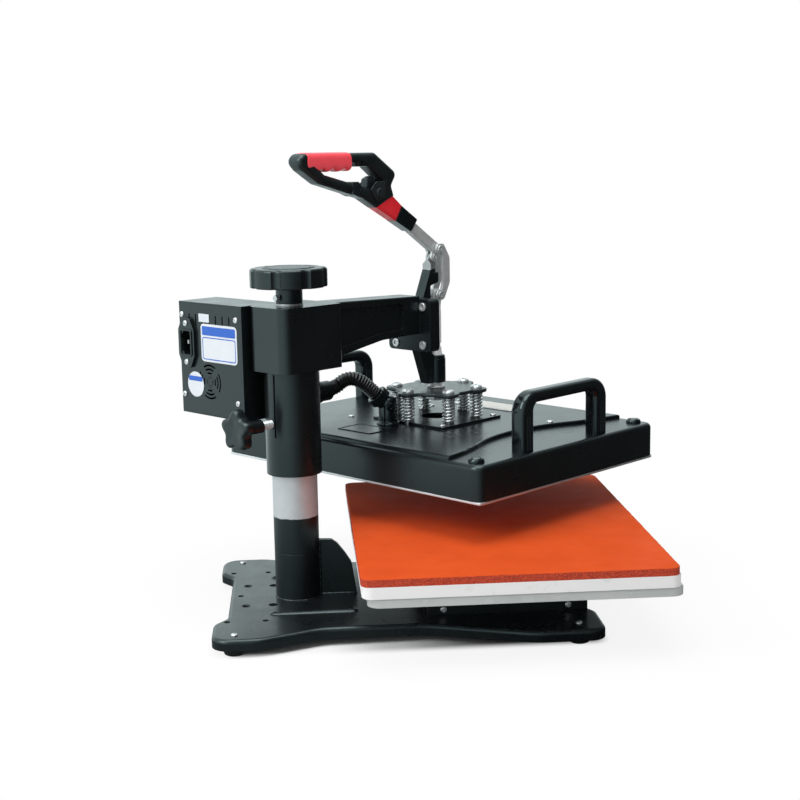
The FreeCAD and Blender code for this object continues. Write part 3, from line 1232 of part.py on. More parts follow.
piece("mains_inlet", [fuse("inlet_with_pins", [inlet_shell] + inlet_pins)], swings=True)

# Cooling fan behind the grille
FAN_BACK = "-case_back + case_wall"
FAN_FRONT = "-case_back + case_wall + fan_thick"
fan_block = box("fan_block", ("fan_side - fan_half", "fan_side + fan_half"), (FAN_BACK, FAN_FRONT),
                ("fan_height - fan_half", "fan_height + fan_half"))
fan_hole = rod("fan_hole", "fan_bore", ("-case_back", "-case_back + 20"), FAN_SPOT, "out")
fan_rim = cut("fan_rim", fan_block, [fan_hole])
fan_bar = box("fan_bar", ("fan_side - fan_half", "fan_side + fan_half"),
              (FAN_FRONT + " - fan_bar_thick", FAN_FRONT), ("fan_height - 2", "fan_height + 2"))
fan_pin = rod("fan_pin_rod", "fan_pin", (FAN_BACK + " + 2", FAN_FRONT + " - 1"), FAN_SPOT, "out")
piece("fan_frame", [fuse("fan_frame_solid", [fan_rim, fan_bar, fan_pin])], swings=True)
rotor_limits = (FAN_BACK + " + 0.8", FAN_FRONT + " - fan_bar_thick - 0.8")
BLADE_COUNT = 7
BLADE_TILT = 25
rotor_parts = [rod("rotor_hub", "fan_hub", rotor_limits, FAN_SPOT, "out")]
for number in range(BLADE_COUNT):
    blade = doc.addObject("Part::Box", "rotor_blade_%d" % number)
    blade.setExpression("Length", bound("fan_blade - 3"))
    blade.setExpression("Width", bound("blade_thick"))
    blade.setExpression("Height", bound("fan_thick - 4.5"))
    tilt = FreeCAD.Rotation(FreeCAD.Vector(1, 0, 0), BLADE_TILT)
    lie = FreeCAD.Rotation(FreeCAD.Vector(1, 0, 0), 90)
    spin = FreeCAD.Rotation(FreeCAD.Vector(0, 1, 0), 360.0 / BLADE_COUNT * number)
    middle = FreeCAD.Vector(val("fan_side"), val("case_back") - val("case_wall") - 1.6, val("fan_height"))
    offset = spin.multVec(FreeCAD.Vector(3, 0, 0))
    blade.Placement = FreeCAD.Placement(middle + offset, spin.multiply(tilt).multiply(lie))
    rotor_parts.append(blade)
rotor_solid = fuse("rotor_solid", rotor_parts)
rotor_bore = rod("rotor_bore", "fan_pin + fit_gap * 2", (FAN_BACK + " + 1.8", FAN_FRONT), FAN_SPOT, "out")
piece("fan_rotor", [cut("rotor_cut", rotor_solid, [rotor_bore])], swings=True)

# Circuit board and display behind the sloped front, at depths below its face
BOARD_FACE = -12.4
BOARD_BACK = -14.0
SWITCH_TOP = -9.6
RELAY_BACK = -27.0
CAPACITOR_BACK = -30.0
BOARD_HALF = 40.0
BOARD_DOWN = 50.0
BOARD_POSTS = [(-34, 16), (34, 16), (-34, 85), (8, 85)]
board = face_block("board_sheet", BOARD_HALF, BOARD_HALF, 0, BOARD_DOWN, (BOARD_BACK, BOARD_FACE))
board_parts = [board]
for number, (across, down) in enumerate(BOARD_POSTS):
    limits = (BOARD_FACE, -val("case_wall"))
    board_parts.append(face_rod("board_post_%d" % number, 2.5, across, down, limits))
for number, across in enumerate(button_places):
    limits = (BOARD_FACE, SWITCH_TOP)
    board_parts.append(face_rod("board_switch_%d" % number, 3, across, BUTTON_DOWN, limits))
board_parts.append(face_block("board_relay", 9, 7, -22, 78, (RELAY_BACK, BOARD_BACK)))
board_parts.append(face_rod("board_capacitor", 6, 18, 78, (CAPACITOR_BACK, BOARD_BACK)))
piece("circuit_board", [fuse("board_solid", board_parts)], swings=True)
display_glass = face_block("display_glass", "display_half - fit_gap", "display_rise - fit_gap", 0,
                           DISPLAY_DOWN, (BOARD_FACE + 0.1, 0.4))
piece("display_unit", [display_glass], swings=True)

for number, across in enumerate(button_places):
    cap = face_rod("button_cap_%d" % number, "button_radius", across, BUTTON_DOWN, (-4, val("button_rise")))
    stem = face_rod("button_stem_%d" % number, 1.5, across, BUTTON_DOWN, (SWITCH_TOP + 1, -4))
    piece("button_%d" % (number + 1), [fuse("button_solid_%d" % number, [cap, stem])], swings=True)
rocker_body = face_block("rocker_body", "rocker_half - free_gap", "rocker_rise - free_gap",
                         ROCKER_SHIFT, ROCKER_DOWN, (-4, 2.2))
piece("power_rocker", [rocker_body], swings=True)

# Hose gland on the sloped front
gland_body = rod("gland_body", "hose_crest + gland_wall", (30, "gland_cap_start"), GLAND_SPOT, "out")
gland_thread = rod("gland_thread", GLAND_THREAD, (36, "gland_cap_start"), GLAND_SPOT, "out")
gland_tip = rod("gland_tip", "hose_crest + gland_cap_wall", ("gland_cap_start", "gland_end"), GLAND_SPOT,
                "out")
gland_outer = cut("gland_outer", gland_body, [case_block])
gland_solid = fuse("gland_solid", [gland_outer, gland_thread, gland_tip])
gland_bore = rod("gland_bore", "hose_crest + fit_gap", (30, "gland_end + 1"), GLAND_SPOT, "out")
piece("hose_gland", [cut("gland_cut", gland_solid, [gland_bore])], swings=True)


# Plunger with its eye, collar and nut
def crank_pin():
    """The links' upper pin with the lever open: out and height."""
    turn = math.radians(val("crank_angle"))
    return (val("fulcrum_out") + val("crank_length") * math.cos(turn),
            val("fulcrum_height") + val("crank_length") * math.sin(turn))


pin_out, pin_height = crank_pin()
eye_out = val("press_centre")
eye_height = pin_height - math.sqrt(val("link_length") ** 2 - (pin_out - eye_out) ** 2)
PLUNGER_SPOT = (0, "press_centre")
PLATE_LOW = "plate_top - plate_thick"
plunger_parts = [
    rod("plunger_rod_bar", "plunger_radius", (PLATE_LOW + " - plunger_nut_thick - 2", "plunger_shoulder"),
        PLUNGER_SPOT),
    rod("plunger_eye_disc", "plunger_eye", ("-cheek_outer", "cheek_outer"), (eye_out, eye_height), "across"),
    box("plunger_eye_neck", ("-cheek_outer", "cheek_outer"),
        ("press_centre - plunger_radius * 0.8", "press_centre + plunger_radius * 0.8"),
        ("plunger_shoulder - 6", eye_height)),
    rod("plunger_collar_ring", "plunger_radius + plunger_collar",
        ("plate_top", "plate_top + plunger_collar_thick"), PLUNGER_SPOT),
]
eye_bore = rod("eye_bore", "link_pin_radius + fit_gap", ("-link_inner", "link_inner"),
               (eye_out, eye_height), "across")
piece("plunger_rod", [cut("plunger_cut", fuse("plunger_solid", plunger_parts), [eye_bore])], swings=True)
plunger_pin = rod("plunger_pin", "link_pin_radius", ("-cheek_outer", "cheek_outer"), (eye_out, eye_height),
                  "across")
nut_block = prism("nut_block", hexagon(val("plunger_nut"), 0, eye_out), "plan",
                  (PLATE_LOW + " - plunger_nut_thick", PLATE_LOW))
nut_bore = rod("nut_bore", "plunger_radius + fit_gap", (PLATE_LOW + " - plunger_nut_thick - 1", "plate_top"),
               PLUNGER_SPOT)
piece("plunger_fasteners", [plunger_pin, cut("nut_cut", nut_block, [nut_bore])], swings=True)

SPRING_COUNT = 6


def spring_spot(number):
    """A spring's place: across and out."""
    turn = math.radians(360.0 / SPRING_COUNT * number)
    return ("spring_circle * %.6f" % math.sin(turn), "press_centre + spring_circle * %.6f" % math.cos(turn))


plate_parts = [rod("plate_core_disc", "plate_core", (PLATE_LOW, "plate_top"), PLUNGER_SPOT)]
plate_holes = [rod("plate_bore", "plunger_radius + fit_gap", (PLATE_LOW, "plate_top"), PLUNGER_SPOT)]
for number in range(SPRING_COUNT):
    spot = spring_spot(number)
    plate_parts.append(rod("plate_lobe_%d" % number, "plate_lobe", (PLATE_LOW, "plate_top"), spot))
    plate_holes.append(rod("plate_hole_%d" % number, "guide_shank + free_gap",
                           (PLATE_LOW, "plate_top"), spot))
piece("pressure_plate", [cut("plate_cut", fuse("plate_solid", plate_parts), plate_holes)], swings=True)


# C-shaped links: straight legs from eye to eye, bowed clear of the fulcrum
def link_points():
    """A link's outline between its eyes, bowed outwards."""
    return [
        (pin_out - 4, pin_height - 3),
        (eye_out + 4.5, pin_height - 8, 3),
        (eye_out + 4.5, eye_height + 9, 3),
        (eye_out + 1, eye_height + 4),
        (eye_out + 5.5, eye_height - 1),
        (eye_out + 16, eye_height + 10, 7),
        (eye_out + 16, pin_height - 14, 7),
        (pin_out + 5.6, pin_height - 2),
        (pin_out, pin_height),
    ]


links = []
link_screws = []
for name, side in (("left", -1), ("right", 1)):
    near = "%d * link_inner" % side
    far = "%d * link_outer" % side
    end = "%d * link_head_outer" % side
    limits = (near, far) if side > 0 else (far, near)
    head_limits = (far, end) if side > 0 else (end, far)
    bow = prism("link_bow_" + name, link_points(), "side", limits)
    upper = rod("link_upper_" + name, "link_eye", limits, (pin_out, pin_height), "across")
    lower = rod("link_lower_" + name, "link_eye", limits, (eye_out, eye_height), "across")
    holes = [
        rod("link_upper_hole_" + name, "link_pin_radius + fit_gap", limits, (pin_out, pin_height), "across"),
        rod("link_lower_hole_" + name, "link_pin_radius + fit_gap", limits, (eye_out, eye_height), "across"),
    ]
    links.append(cut("link_" + name, fuse("link_solid_" + name, [bow, upper, lower]), holes))
    lower_head = rod("link_lower_head_" + name, "link_head", head_limits, (eye_out, eye_height), "across")
    lower_shank = rod("link_lower_shank_" + name, "link_pin_radius", limits, (eye_out, eye_height), "across")
    link_screws.append(fuse("link_lower_screw_" + name, [lower_head, lower_shank]))
    cheek = "%d * cheek_inner" % side
    stub_limits = (cheek, far) if side > 0 else (far, cheek)
    upper_head = rod("link_upper_head_" + name, "link_head", head_limits, (pin_out, pin_height), "across")
    upper_shank = rod("link_upper_shank_" + name, "link_pin_radius", stub_limits,
                      (pin_out, pin_height), "across")
    link_screws.append(fuse("link_upper_screw_" + name, [upper_head, upper_shank]))
piece("toggle_links", links, swings=True)
piece("link_screws", link_screws, swings=True)


# Lever: forked bar, socket, red sleeve and the D-shaped grip
def strip(name, start, end, half, limits):
    """A straight bar seen from the side, from start to end, with a half height."""
    run = FreeCAD.Vector(end[0] - start[0], end[1] - start[1], 0)
    away = unit(FreeCAD.Vector(-run.y, run.x, 0)) * half
    points = [
        (start[0] + away.x, start[1] + away.y),
        (end[0] + away.x, end[1] + away.y),
        (end[0] - away.x, end[1] - away.y),
        (start[0] - away.x, start[1] - away.y),
    ]
    return prism(name, points, "side", limits)


BAR_START = (pin_out - 2, pin_height + 0.5)
BAR_END = (154.1, 395.0)
LEVER_LIMITS = ("-lever_half", "lever_half")
HEEL_RADIUS = "pin_radius + 2.8"
THROAT_HALF = 5.2
lever_parts = [
    rod("lever_eye", "link_eye", LEVER_LIMITS, (pin_out, pin_height), "across"),
    rod("lever_heel", HEEL_RADIUS, LEVER_LIMITS, FULCRUM, "across"),
    strip("lever_throat", (val("fulcrum_out"), val("fulcrum_height")), (pin_out, pin_height), THROAT_HALF,
          LEVER_LIMITS),
    strip("lever_strip", BAR_START, BAR_END, val("lever_bar"), LEVER_LIMITS),
]
CHEEK_LIMITS = ("-cheek_inner", "cheek_inner")
SLOT_REACH = 6.0
bar_run = FreeCAD.Vector(BAR_END[0] - pin_out, BAR_END[1] - pin_height, 0)
slot_start = FreeCAD.Vector(pin_out, pin_height, 0) - unit(bar_run) * (val("link_eye") + 2)
slot_end = FreeCAD.Vector(pin_out, pin_height, 0) + unit(bar_run) * SLOT_REACH
CORE_LIMITS = ("-lever_half - fit_gap", "lever_half + fit_gap")
lever_holes = [
    box("lever_slot", CHEEK_LIMITS, ("fulcrum_out - 14", "fulcrum_out + 20"),
        ("fulcrum_height - 15", "fulcrum_height + 8")),
    strip("lever_slot_far", (slot_start.x, slot_start.y), (slot_end.x, slot_end.y), val("lever_bar") + 2,
          CHEEK_LIMITS),
    rod("lever_eye_hole", "link_pin_radius + fit_gap", LEVER_LIMITS, (pin_out, pin_height), "across"),
    rod("lever_heel_hole", "pin_radius + fit_gap", LEVER_LIMITS, FULCRUM, "across"),
]
piece("lever_fork", [cut("lever_cut", fuse("lever_solid", lever_parts), lever_holes)], swings=True)

# Where the socket meets the red sleeve, and the sleeve the grip: out and height
SOCKET_TOP = (158.8, 402.7)
SOCKET_LOW = (149.4, 387.4)
SLEEVE_TOP = (142.7, 415.8)
SLEEVE_LOW = (117.3, 404.4)
socket_points = [(179.9, 387.1, 1.5), SOCKET_TOP, SOCKET_LOW, (172, 377.9, 2)]
socket_block = prism("socket_block", socket_points, "side", ("-socket_half", "socket_half"))
socket_core = strip("socket_core", BAR_START, BAR_END, val("lever_bar") + val("fit_gap"),
                    CORE_LIMITS)
piece("lever_socket", [cut("socket_cut", socket_block, [socket_core])], swings=True)

sleeve_points = [SOCKET_TOP, SLEEVE_TOP + (2,), SLEEVE_LOW + (1,), SOCKET_LOW]
sleeve_block = prism("sleeve_block", sleeve_points, "side", ("-sleeve_half", "sleeve_half"))
sleeve_core = strip("sleeve_core", BAR_START, BAR_END, val("lever_bar") + val("fit_gap"), CORE_LIMITS)
piece("lever_sleeve", [cut("lever_sleeve_cut", sleeve_block, [sleeve_core])], swings=True)

# The grip is drawn down from its top. The cover lies between two distances from the post.
grip_top = val("grip_top")
grip_points = [
    (7.3, grip_top - 7.5, 7),
    (16, grip_top, 9),
    (115, grip_top, 4),
    (147, grip_top - 21.5, 3),
    (138.5, grip_top - 34.5, 2),
    SLEEVE_TOP,
    SLEEVE_LOW,
    (99, grip_top - 46.4, 12),
    (38.6, grip_top - 30.4, 14),
    (16, grip_top - 16.5, 12),
]
window_points = [
    (50, grip_top - 17.2, 1.5),
    (103, grip_top - 15.5, 3),
    (123, grip_top - 29.5, 2),
    (106, grip_top - 33, 3),
    (87, grip_top - 29.6, 3),
]
COVER_START = 21.0
COVER_END = 86.0
grip_block = prism("grip_block", grip_points, "side", ("-grip_half", "grip_half"))
grip_window = prism("grip_window", window_points, "side", ("-grip_half - 1", "grip_half + 1"))
grip_waist = box("grip_waist", ("-grip_half - 1", "grip_half + 1"), (COVER_START, COVER_END),
                 ("grip_top - grip_cover_drop - 0.5", "grip_top + 1"))
grip_core = box("grip_core", ("-grip_core_half", "grip_core_half"), (COVER_START - 1, COVER_END + 1),
                ("grip_top - 14", "grip_top - 3"))
trigger_slot = box("trigger_slot", ("-trigger_half - free_gap", "trigger_half + free_gap"), (104, 122),
                   ("grip_top - 43", "grip_top - 25"))
grip_solid = cut("grip_carved", grip_block, [grip_window, grip_waist])
piece("grip_frame", [cut("grip_slotted", fuse("grip_with_core", [grip_solid, grip_core]),
                         [trigger_slot])], swings=True)

cover_points = [
    (COVER_START, grip_top - val("grip_cover_drop"), 3),
    (COVER_START, grip_top + val("grip_cover_rise"), 3),
    (COVER_END, grip_top + val("grip_cover_rise"), 3),
    (COVER_END, grip_top - val("grip_cover_drop"), 3),
]
cover_block = prism("grip_cover_block", cover_points, "side", ("-grip_cover_half", "grip_cover_half"))
scallops = []
for number in range(4):
    spot = ("%g + scallop_spacing * %d" % (COVER_START + 9, number),
            "grip_top - grip_cover_drop - scallop_radius + scallop_depth")
    limits = ("-grip_cover_half - 1", "grip_cover_half + 1")
    scallops.append(rod("scallop_%d" % number, "scallop_radius", limits, spot, "across"))
cover_bore = box("cover_bore", ("-grip_core_half - fit_gap", "grip_core_half + fit_gap"),
                 (COVER_START - 2, COVER_END + 2),
                 ("grip_top - 14 - fit_gap", "grip_top - 3 + fit_gap"))
piece("grip_cover", [cut("grip_cover_cut", cover_block, scallops + [cover_bore])], swings=True)

trigger_points = [
    (105, grip_top - 39.4, 2),
    (121, grip_top - 42, 2),
    (121, grip_top - 30, 2),
    (114, grip_top - 23.5, 2),
    (107, grip_top - 26.5, 2),
]
piece("grip_trigger", [prism("trigger_block", trigger_points, "side", ("-trigger_half", "trigger_half"))],
      swings=True)

# Heat plate, its element and the insulation
PLATEN_SPOT = (0, "press_centre")
BAND_TOP = "platen_low + heat_band"
INNER_TOP = "platen_low + heat_band + heat_inner_thick"
heat_band = plate("heat_band_block", "platen_length", "platen_width", "heat_band", PLATEN_SPOT,
                  "platen_low", "")
heat_inner = plate("heat_inner_block", "platen_length - 2 * (cover_wall + heat_inset)",
                   "platen_width - 2 * (cover_wall + heat_inset)", "heat_inner_thick", PLATEN_SPOT, BAND_TOP,
                   "cover_corner - cover_wall")
piece("heat_plate", [fuse("heat_plate_solid", [heat_band, heat_inner])], swings=True)


def element_path():
    """Three runs of tube joined by two bends, lying on the heat plate."""
    bend = val("element_bend")
    half = val("platen_width") / 2 - val("element_inset")
    middle = val("press_centre")
    height = val("platen_low") + val("heat_band") + val("heat_inner_thick") + val("element_radius") + 0.1
    edges = []
    for index in range(4):
        out = -(middle + (index - 1.5) * 2 * bend)
        start = FreeCAD.Vector(-half if index % 2 == 0 else half, out, height)
        end = FreeCAD.Vector(-start.x, out, height)
        edges.append(Part.LineSegment(start, end).toShape())
        if index < 3:
            tip = FreeCAD.Vector(end.x + math.copysign(bend, end.x), out - bend, height)
            edges.append(Part.Arc(end, tip, FreeCAD.Vector(end.x, out - 2 * bend, height)).toShape())
    return Part.Wire(edges)


element_wire = element_path()
element_start = element_wire.Edges[0].Vertexes[0].Point
element_ring = Part.Wire([Part.makeCircle(val("element_radius"), element_start, FreeCAD.Vector(1, 0, 0))])
element = doc.addObject("Part::Feature", "element_tube")
element.Shape = element_wire.makePipeShell([element_ring], True, False)
piece("heating_element", [element], swings=True)

INSULATION_LOW = INNER_TOP + " + 2 * element_radius + 0.2"
insulation = plate("insulation_block", "platen_length - 2 * (cover_wall + heat_inset)",
                   "platen_width - 2 * (cover_wall + heat_inset)", "insulation_thick", PLATEN_SPOT,
                   INSULATION_LOW, "cover_corner - cover_wall")
CORNER_SPOTS = []
for side in (-1, 1):
    for way in (-1, 1):
        CORNER_SPOTS.append(("%d * (platen_width / 2 - cap_side_inset)" % side,
                             "press_centre + %d * (platen_length / 2 - cap_end_inset)" % way))
insulation_holes = []
for number, spot in enumerate(CORNER_SPOTS):
    insulation_holes.append(rod("insulation_hole_%d" % number, "cap_radius / 2 + fit_gap",
                                ("platen_low", "cover_deck"), spot))
piece("insulation", [cut("insulation_cut", insulation, insulation_holes)], swings=True)


# Platen cover: a pressed shell with a raised field between the handles
def field_wire():
    """The raised field's outline, with bowed sides that end straight at both ends."""
    middle = -val("press_centre")
    out = val("field_shoulder_out")
    end = val("platen_length") / 2 - val("field_end_inset")
    waist = val("platen_width") / 2 - val("field_waist")
    shoulder = val("platen_width") / 2 - val("field_shoulder")
    tip = val("platen_width") / 2 - val("field_end")
    edges = []
    for side in (1, -1):
        spots = []
        for distance, half in ((-end, tip), (-out, shoulder), (0, waist), (out, shoulder), (end, tip)):
            spots.append(FreeCAD.Vector(side * half, middle + side * distance, 0))
        bow = (tip + shoulder) / 2 + 1.6
        halfway = (end + out) / 2
        first_bow = FreeCAD.Vector(side * bow, middle - side * halfway, 0)
        last_bow = FreeCAD.Vector(side * bow, middle + side * halfway, 0)
        edges.append(Part.Arc(spots[0], first_bow, spots[1]).toShape())
        edges.append(Part.Arc(spots[1], spots[2], spots[3]).toShape())
        edges.append(Part.Arc(spots[3], last_bow, spots[4]).toShape())
        following = FreeCAD.Vector(-side * tip, middle + side * end, 0)
        edges.append(Part.LineSegment(spots[4], following).toShape())
    return Part.Wire(edges)


cover_block_low = plate("cover_block", "platen_length", "platen_width",
                        "cover_deck - platen_low - heat_band", PLATEN_SPOT, BAND_TOP, "cover_corner")
cover_soft = round_edges("cover_soft", cover_block_low, val("cover_round"), at_height(val("cover_deck")))
field_outline = doc.addObject("Part::Feature", "field_outline")
field_outline.Shape = field_wire()
field_block = extrude("field_block", field_outline, "plan", ("cover_deck - 1", "cover_field"))
field_soft = round_edges("field_soft", field_block, 2.0, at_height(val("cover_field")))
cover_hollow = plate("cover_hollow", "platen_length - 2 * cover_wall", "platen_width - 2 * cover_wall",
                     "cover_deck - cover_wall - platen_low - heat_band + 2", PLATEN_SPOT, BAND_TOP + " - 2",
                     "cover_corner - cover_wall")
cover_shell = fuse("cover_shell", [cut("cover_opened", cover_soft, [cover_hollow]), field_soft])

# The spring base plate starts just clear of the elbow's flange
ELBOW_RADIUS = "(hose_crest + elbow_wall)"
SPRING_PLATE_BACK = "(elbow_out + " + ELBOW_RADIUS + " + elbow_flange + spring_plate_gap)"
SPRING_PLATE_TOP = "cover_field + spring_plate_thick"
spring_plate = plate("spring_plate_block", "spring_plate_front - " + SPRING_PLATE_BACK,
                     "2 * spring_plate_half", "spring_plate_thick",
                     (0, "(spring_plate_front + " + SPRING_PLATE_BACK + ") / 2"), "cover_field",
                     "spring_plate_corner")
spring_plate_cuts = [rod("spring_plate_bore", "spring_plate_hole", ("cover_field", SPRING_PLATE_TOP),
                         PLUNGER_SPOT)]
cover_cuts = [rod("cover_bore_middle", "spring_plate_hole", ("cover_deck - 5", "cover_field + 1"),
                  PLUNGER_SPOT)]
shoulder_screws = []
for number in range(SPRING_COUNT):
    spot = spring_spot(number)
    name = "shoulder_%d" % number
    spring_plate_cuts.append(rod(name + "_hole", "guide_shank + fit_gap", ("cover_field", SPRING_PLATE_TOP),
                                 spot))
    cover_cuts.append(rod(name + "_cover", "guide_shank + fit_gap", ("cover_deck - 5", "cover_field + 1"),
                          spot))
    shank = rod(name + "_shank", "guide_shank", ("cover_deck - cover_wall - 4", "plate_top + fit_gap"), spot)
    head = rod(name + "_head", "guide_head",
               ("plate_top + fit_gap", "plate_top + fit_gap + guide_head_height"), spot)
    socket = rod(name + "_socket", "guide_head * 0.45",
                 ("plate_top + guide_head_height - 2", "plate_top + guide_head_height + 1"), spot)
    nut = rod(name + "_nut", "guide_shank + 2.5", ("cover_deck - cover_wall - 4", "cover_deck - cover_wall"),
              spot)
    shoulder_screws.append(cut(name, fuse(name + "_solid", [shank, head, nut]), [socket]))
piece("shoulder_screws", shoulder_screws, swings=True)

# Screws and caps of the platen
platen_screws = []
for number, spot in enumerate(CORNER_SPOTS):
    name = "cap_%d" % number
    cap = rod(name, "cap_radius", ("cover_deck", "cover_deck + cap_rise"), spot)
    stem = rod(name + "_stem", "cap_radius / 2", (INNER_TOP, "cover_deck"), spot)
    platen_screws.append(fuse(name + "_screw", [cap, stem]))
    cover_cuts.append(rod(name + "_hole", "cap_radius / 2 + fit_gap", ("cover_deck - 5", "cover_deck + 1"),
                          spot))
PLATE_CORNERS = []
for side in (-1, 1):
    for edge in (SPRING_PLATE_BACK + " + 7", "spring_plate_front - 7"):
        PLATE_CORNERS.append(("%d * (spring_plate_half - 7)" % side, edge))
for number, (across, out) in enumerate(PLATE_CORNERS):
    height = SPRING_PLATE_TOP
    name = "plate_screw_%d" % number
    head = rod(name + "_head", "screw_head", (height, height + " + screw_rise"), (across, out))
    shank = rod(name + "_shank", "screw_shank", ("cover_deck - 6", height), (across, out))
    platen_screws.append(fuse(name, [head, shank]))
    hole = ("cover_deck - 5", height + " + 1")
    spring_plate_cuts.append(rod(name + "_hole", "screw_shank + fit_gap", hole, (across, out)))
    cover_cuts.append(rod(name + "_cover", "screw_shank + fit_gap", hole, (across, out)))
FIELD_SPOTS = [
    ("platen_width / 2 - field_waist - 32", "press_centre - 54"),
    ("field_waist - platen_width / 2 - 1", "press_centre + 59"),
]
for number, spot in enumerate(FIELD_SPOTS):
    name = "field_screw_%d" % number
    head = rod(name + "_head", "screw_head", ("cover_field", "cover_field + screw_rise"), spot)
    shank = rod(name + "_shank", "screw_shank", ("cover_deck - 6", "cover_field"), spot)
    platen_screws.append(fuse(name, [head, shank]))
    cover_cuts.append(rod(name + "_cover", "screw_shank + fit_gap",
                          ("cover_deck - 5", "cover_field + 1"), spot))
piece("spring_base_plate", [cut("spring_plate_cut", spring_plate, spring_plate_cuts)], swings=True)


# Handles: square-section arches with rounded edges
def handle_points():
    """A handle seen from the side."""
    back = val("handle_back")
    front = val("handle_front")
    leg = val("handle_leg")
    low = val("cover_deck")
    outer = val("handle_corner")
    inner = val("handle_inner_corner")
    return [
        (back, low),
        (back, val("handle_top"), outer),
        (front, val("handle_top"), outer),
        (front, low),
        (front - leg, low),
        (front - leg, val("handle_inner_top"), inner),
        (back + leg, val("handle_inner_top"), inner),
        (back + leg, low),
    ]


handles = []
for name, side in (("left", -1), ("right", 1)):
    middle = "%d * (platen_width / 2 - handle_inset)" % side
    limits = (middle + " - handle_half", middle + " + handle_half")
    arch = prism("handle_" + name, handle_points(), "side", limits)
    soft = round_edges("handle_soft_" + name, arch, val("handle_round"),
                       lambda edge: abs(edge.tangentAt(edge.FirstParameter).x) < 0.01
                       and not all(vertex.Z < val("cover_deck") + 0.01 for vertex in edge.Vertexes))
    bores = []
    leg_spots = (("back", "handle_back + handle_leg / 2"), ("front", "handle_front - handle_leg / 2"))
    for end, distance in leg_spots:
        screw_name = "handle_screw_%s_%s" % (name, end)
        spot = (middle, distance)
        bore = "screw_shank + fit_gap"
        bores.append(rod(screw_name + "_bore", bore, ("cover_deck", "cover_deck + 22"), spot))
        cover_cuts.append(rod(screw_name + "_hole", bore, ("cover_deck - 5", "cover_deck"), spot))
        head = rod(screw_name + "_head", "screw_head",
                   ("cover_deck - cover_wall - screw_rise", "cover_deck - cover_wall"), spot)
        shank = rod(screw_name + "_shank", "screw_shank",
                    ("cover_deck - cover_wall", "cover_deck + 20"), spot)
        platen_screws.append(fuse(screw_name, [head, shank]))
    handles.append(cut("handle_bored_" + name, soft, bores))
piece("platen_handles", handles, swings=True)
piece("platen_screws", platen_screws, swings=True)

# Elbow on the platen, and the ribbed hose from the gland to the elbow
port_aim = FreeCAD.Vector(22, -138, 205)
elbow_centre = FreeCAD.Vector(val("elbow_side"), -val("elbow_out"), val("elbow_bend"))
port = unit(port_aim - elbow_centre)


def slanted(name, radius, start, direction, length):
    """A round bar from a point along a direction."""
    obj = doc.addObject("Part::Cylinder", name)
    obj.setExpression("Radius", bound(radius))
    obj.Height = length
    obj.Placement = FreeCAD.Placement(start, FreeCAD.Rotation(FreeCAD.Vector(0, 0, 1), direction))
    return obj


ELBOW_SPOT = ("elbow_side", "elbow_out")
nut_start = elbow_centre + port * val("elbow_neck")
elbow_parts = [
    rod("elbow_stem", ELBOW_RADIUS, ("cover_field", "elbow_bend"), ELBOW_SPOT),
    rod("elbow_foot", ELBOW_RADIUS + " + elbow_flange",
        ("cover_field", "cover_field + elbow_flange_thick"), ELBOW_SPOT),
    ball("elbow_ball", ELBOW_RADIUS, ("elbow_side", "elbow_out", "elbow_bend")),
    slanted("elbow_neck_bar", ELBOW_RADIUS, elbow_centre, port, val("elbow_neck")),
    slanted("elbow_nut_bar", "hose_crest + elbow_nut_wall", nut_start, port, val("elbow_nut_length")),
]
elbow_bore = slanted("elbow_bore", "hose_crest + fit_gap", nut_start - port * 2, port,
                     val("elbow_nut_length") + 5)
elbow_way = rod("elbow_way", "hose_bore", ("cover_field - 1", "elbow_bend - 3"), ELBOW_SPOT)
elbow_solid = fuse("elbow_solid", elbow_parts)
piece("hose_elbow", [cut("elbow_cut", elbow_solid, [elbow_bore, elbow_way])], swings=True)
cover_cuts.append(rod("elbow_cover_hole", "hose_bore", ("cover_deck - 5", "cover_field + 1"), ELBOW_SPOT))
piece("platen_cover", [cut("cover_cut", cover_shell, cover_cuts)], swings=True)


def tangent_route(points):
    """Straight runs joined by arcs, each as large as its two runs allow."""
    edges = []
    radii = []
    last = points[0]
    for index in range(1, len(points) - 1):
        back = points[index - 1] - points[index]
        ahead = points[index + 1] - points[index]
        reach = 0.45 * min(back.Length, ahead.Length)
        half = back.getAngle(ahead) / 2
        radius = reach * math.tan(half)
        radii.append(radius)
        start = points[index] + unit(back) * reach
        end = points[index] + unit(ahead) * reach
        inward = unit(unit(back) + unit(ahead))
        middle = points[index] + inward * (radius / math.sin(half) - radius)
        edges.append(Part.LineSegment(last, start).toShape())
        edges.append(Part.Arc(start, middle, end).toShape())
        last = end
    edges.append(Part.LineSegment(last, points[-1]).toShape())
    return edges, radii


# The route is across, out and height, from the gland to the elbow's nut.
HOSE_ROUTE = [
    FreeCAD.Vector(val("gland_side"), -78, val("gland_height")),
    FreeCAD.Vector(val("gland_side"), -103, val("gland_height")),
    FreeCAD.Vector(41, -114, 223.5),
    elbow_centre + port * 40,
    nut_start + port * 0.5,
]


def hose_stations(edges, pitch):
    """Places along the route with their directions, a quarter of a rib apart."""
    total = sum(edge.Length for edge in edges)
    count = int(round(total / pitch)) * 4
    stations = []
    for number in range(count + 1):
        travelled = total * number / count
        index = 0
        while index < len(edges) - 1 and travelled > edges[index].Length:
            travelled -= edges[index].Length
            index += 1
        edge = edges[index]
        parameter = edge.getParameterByLength(min(travelled, edge.Length))
        stations.append((edge.valueAt(parameter), edge.tangentAt(parameter)))
    return stations


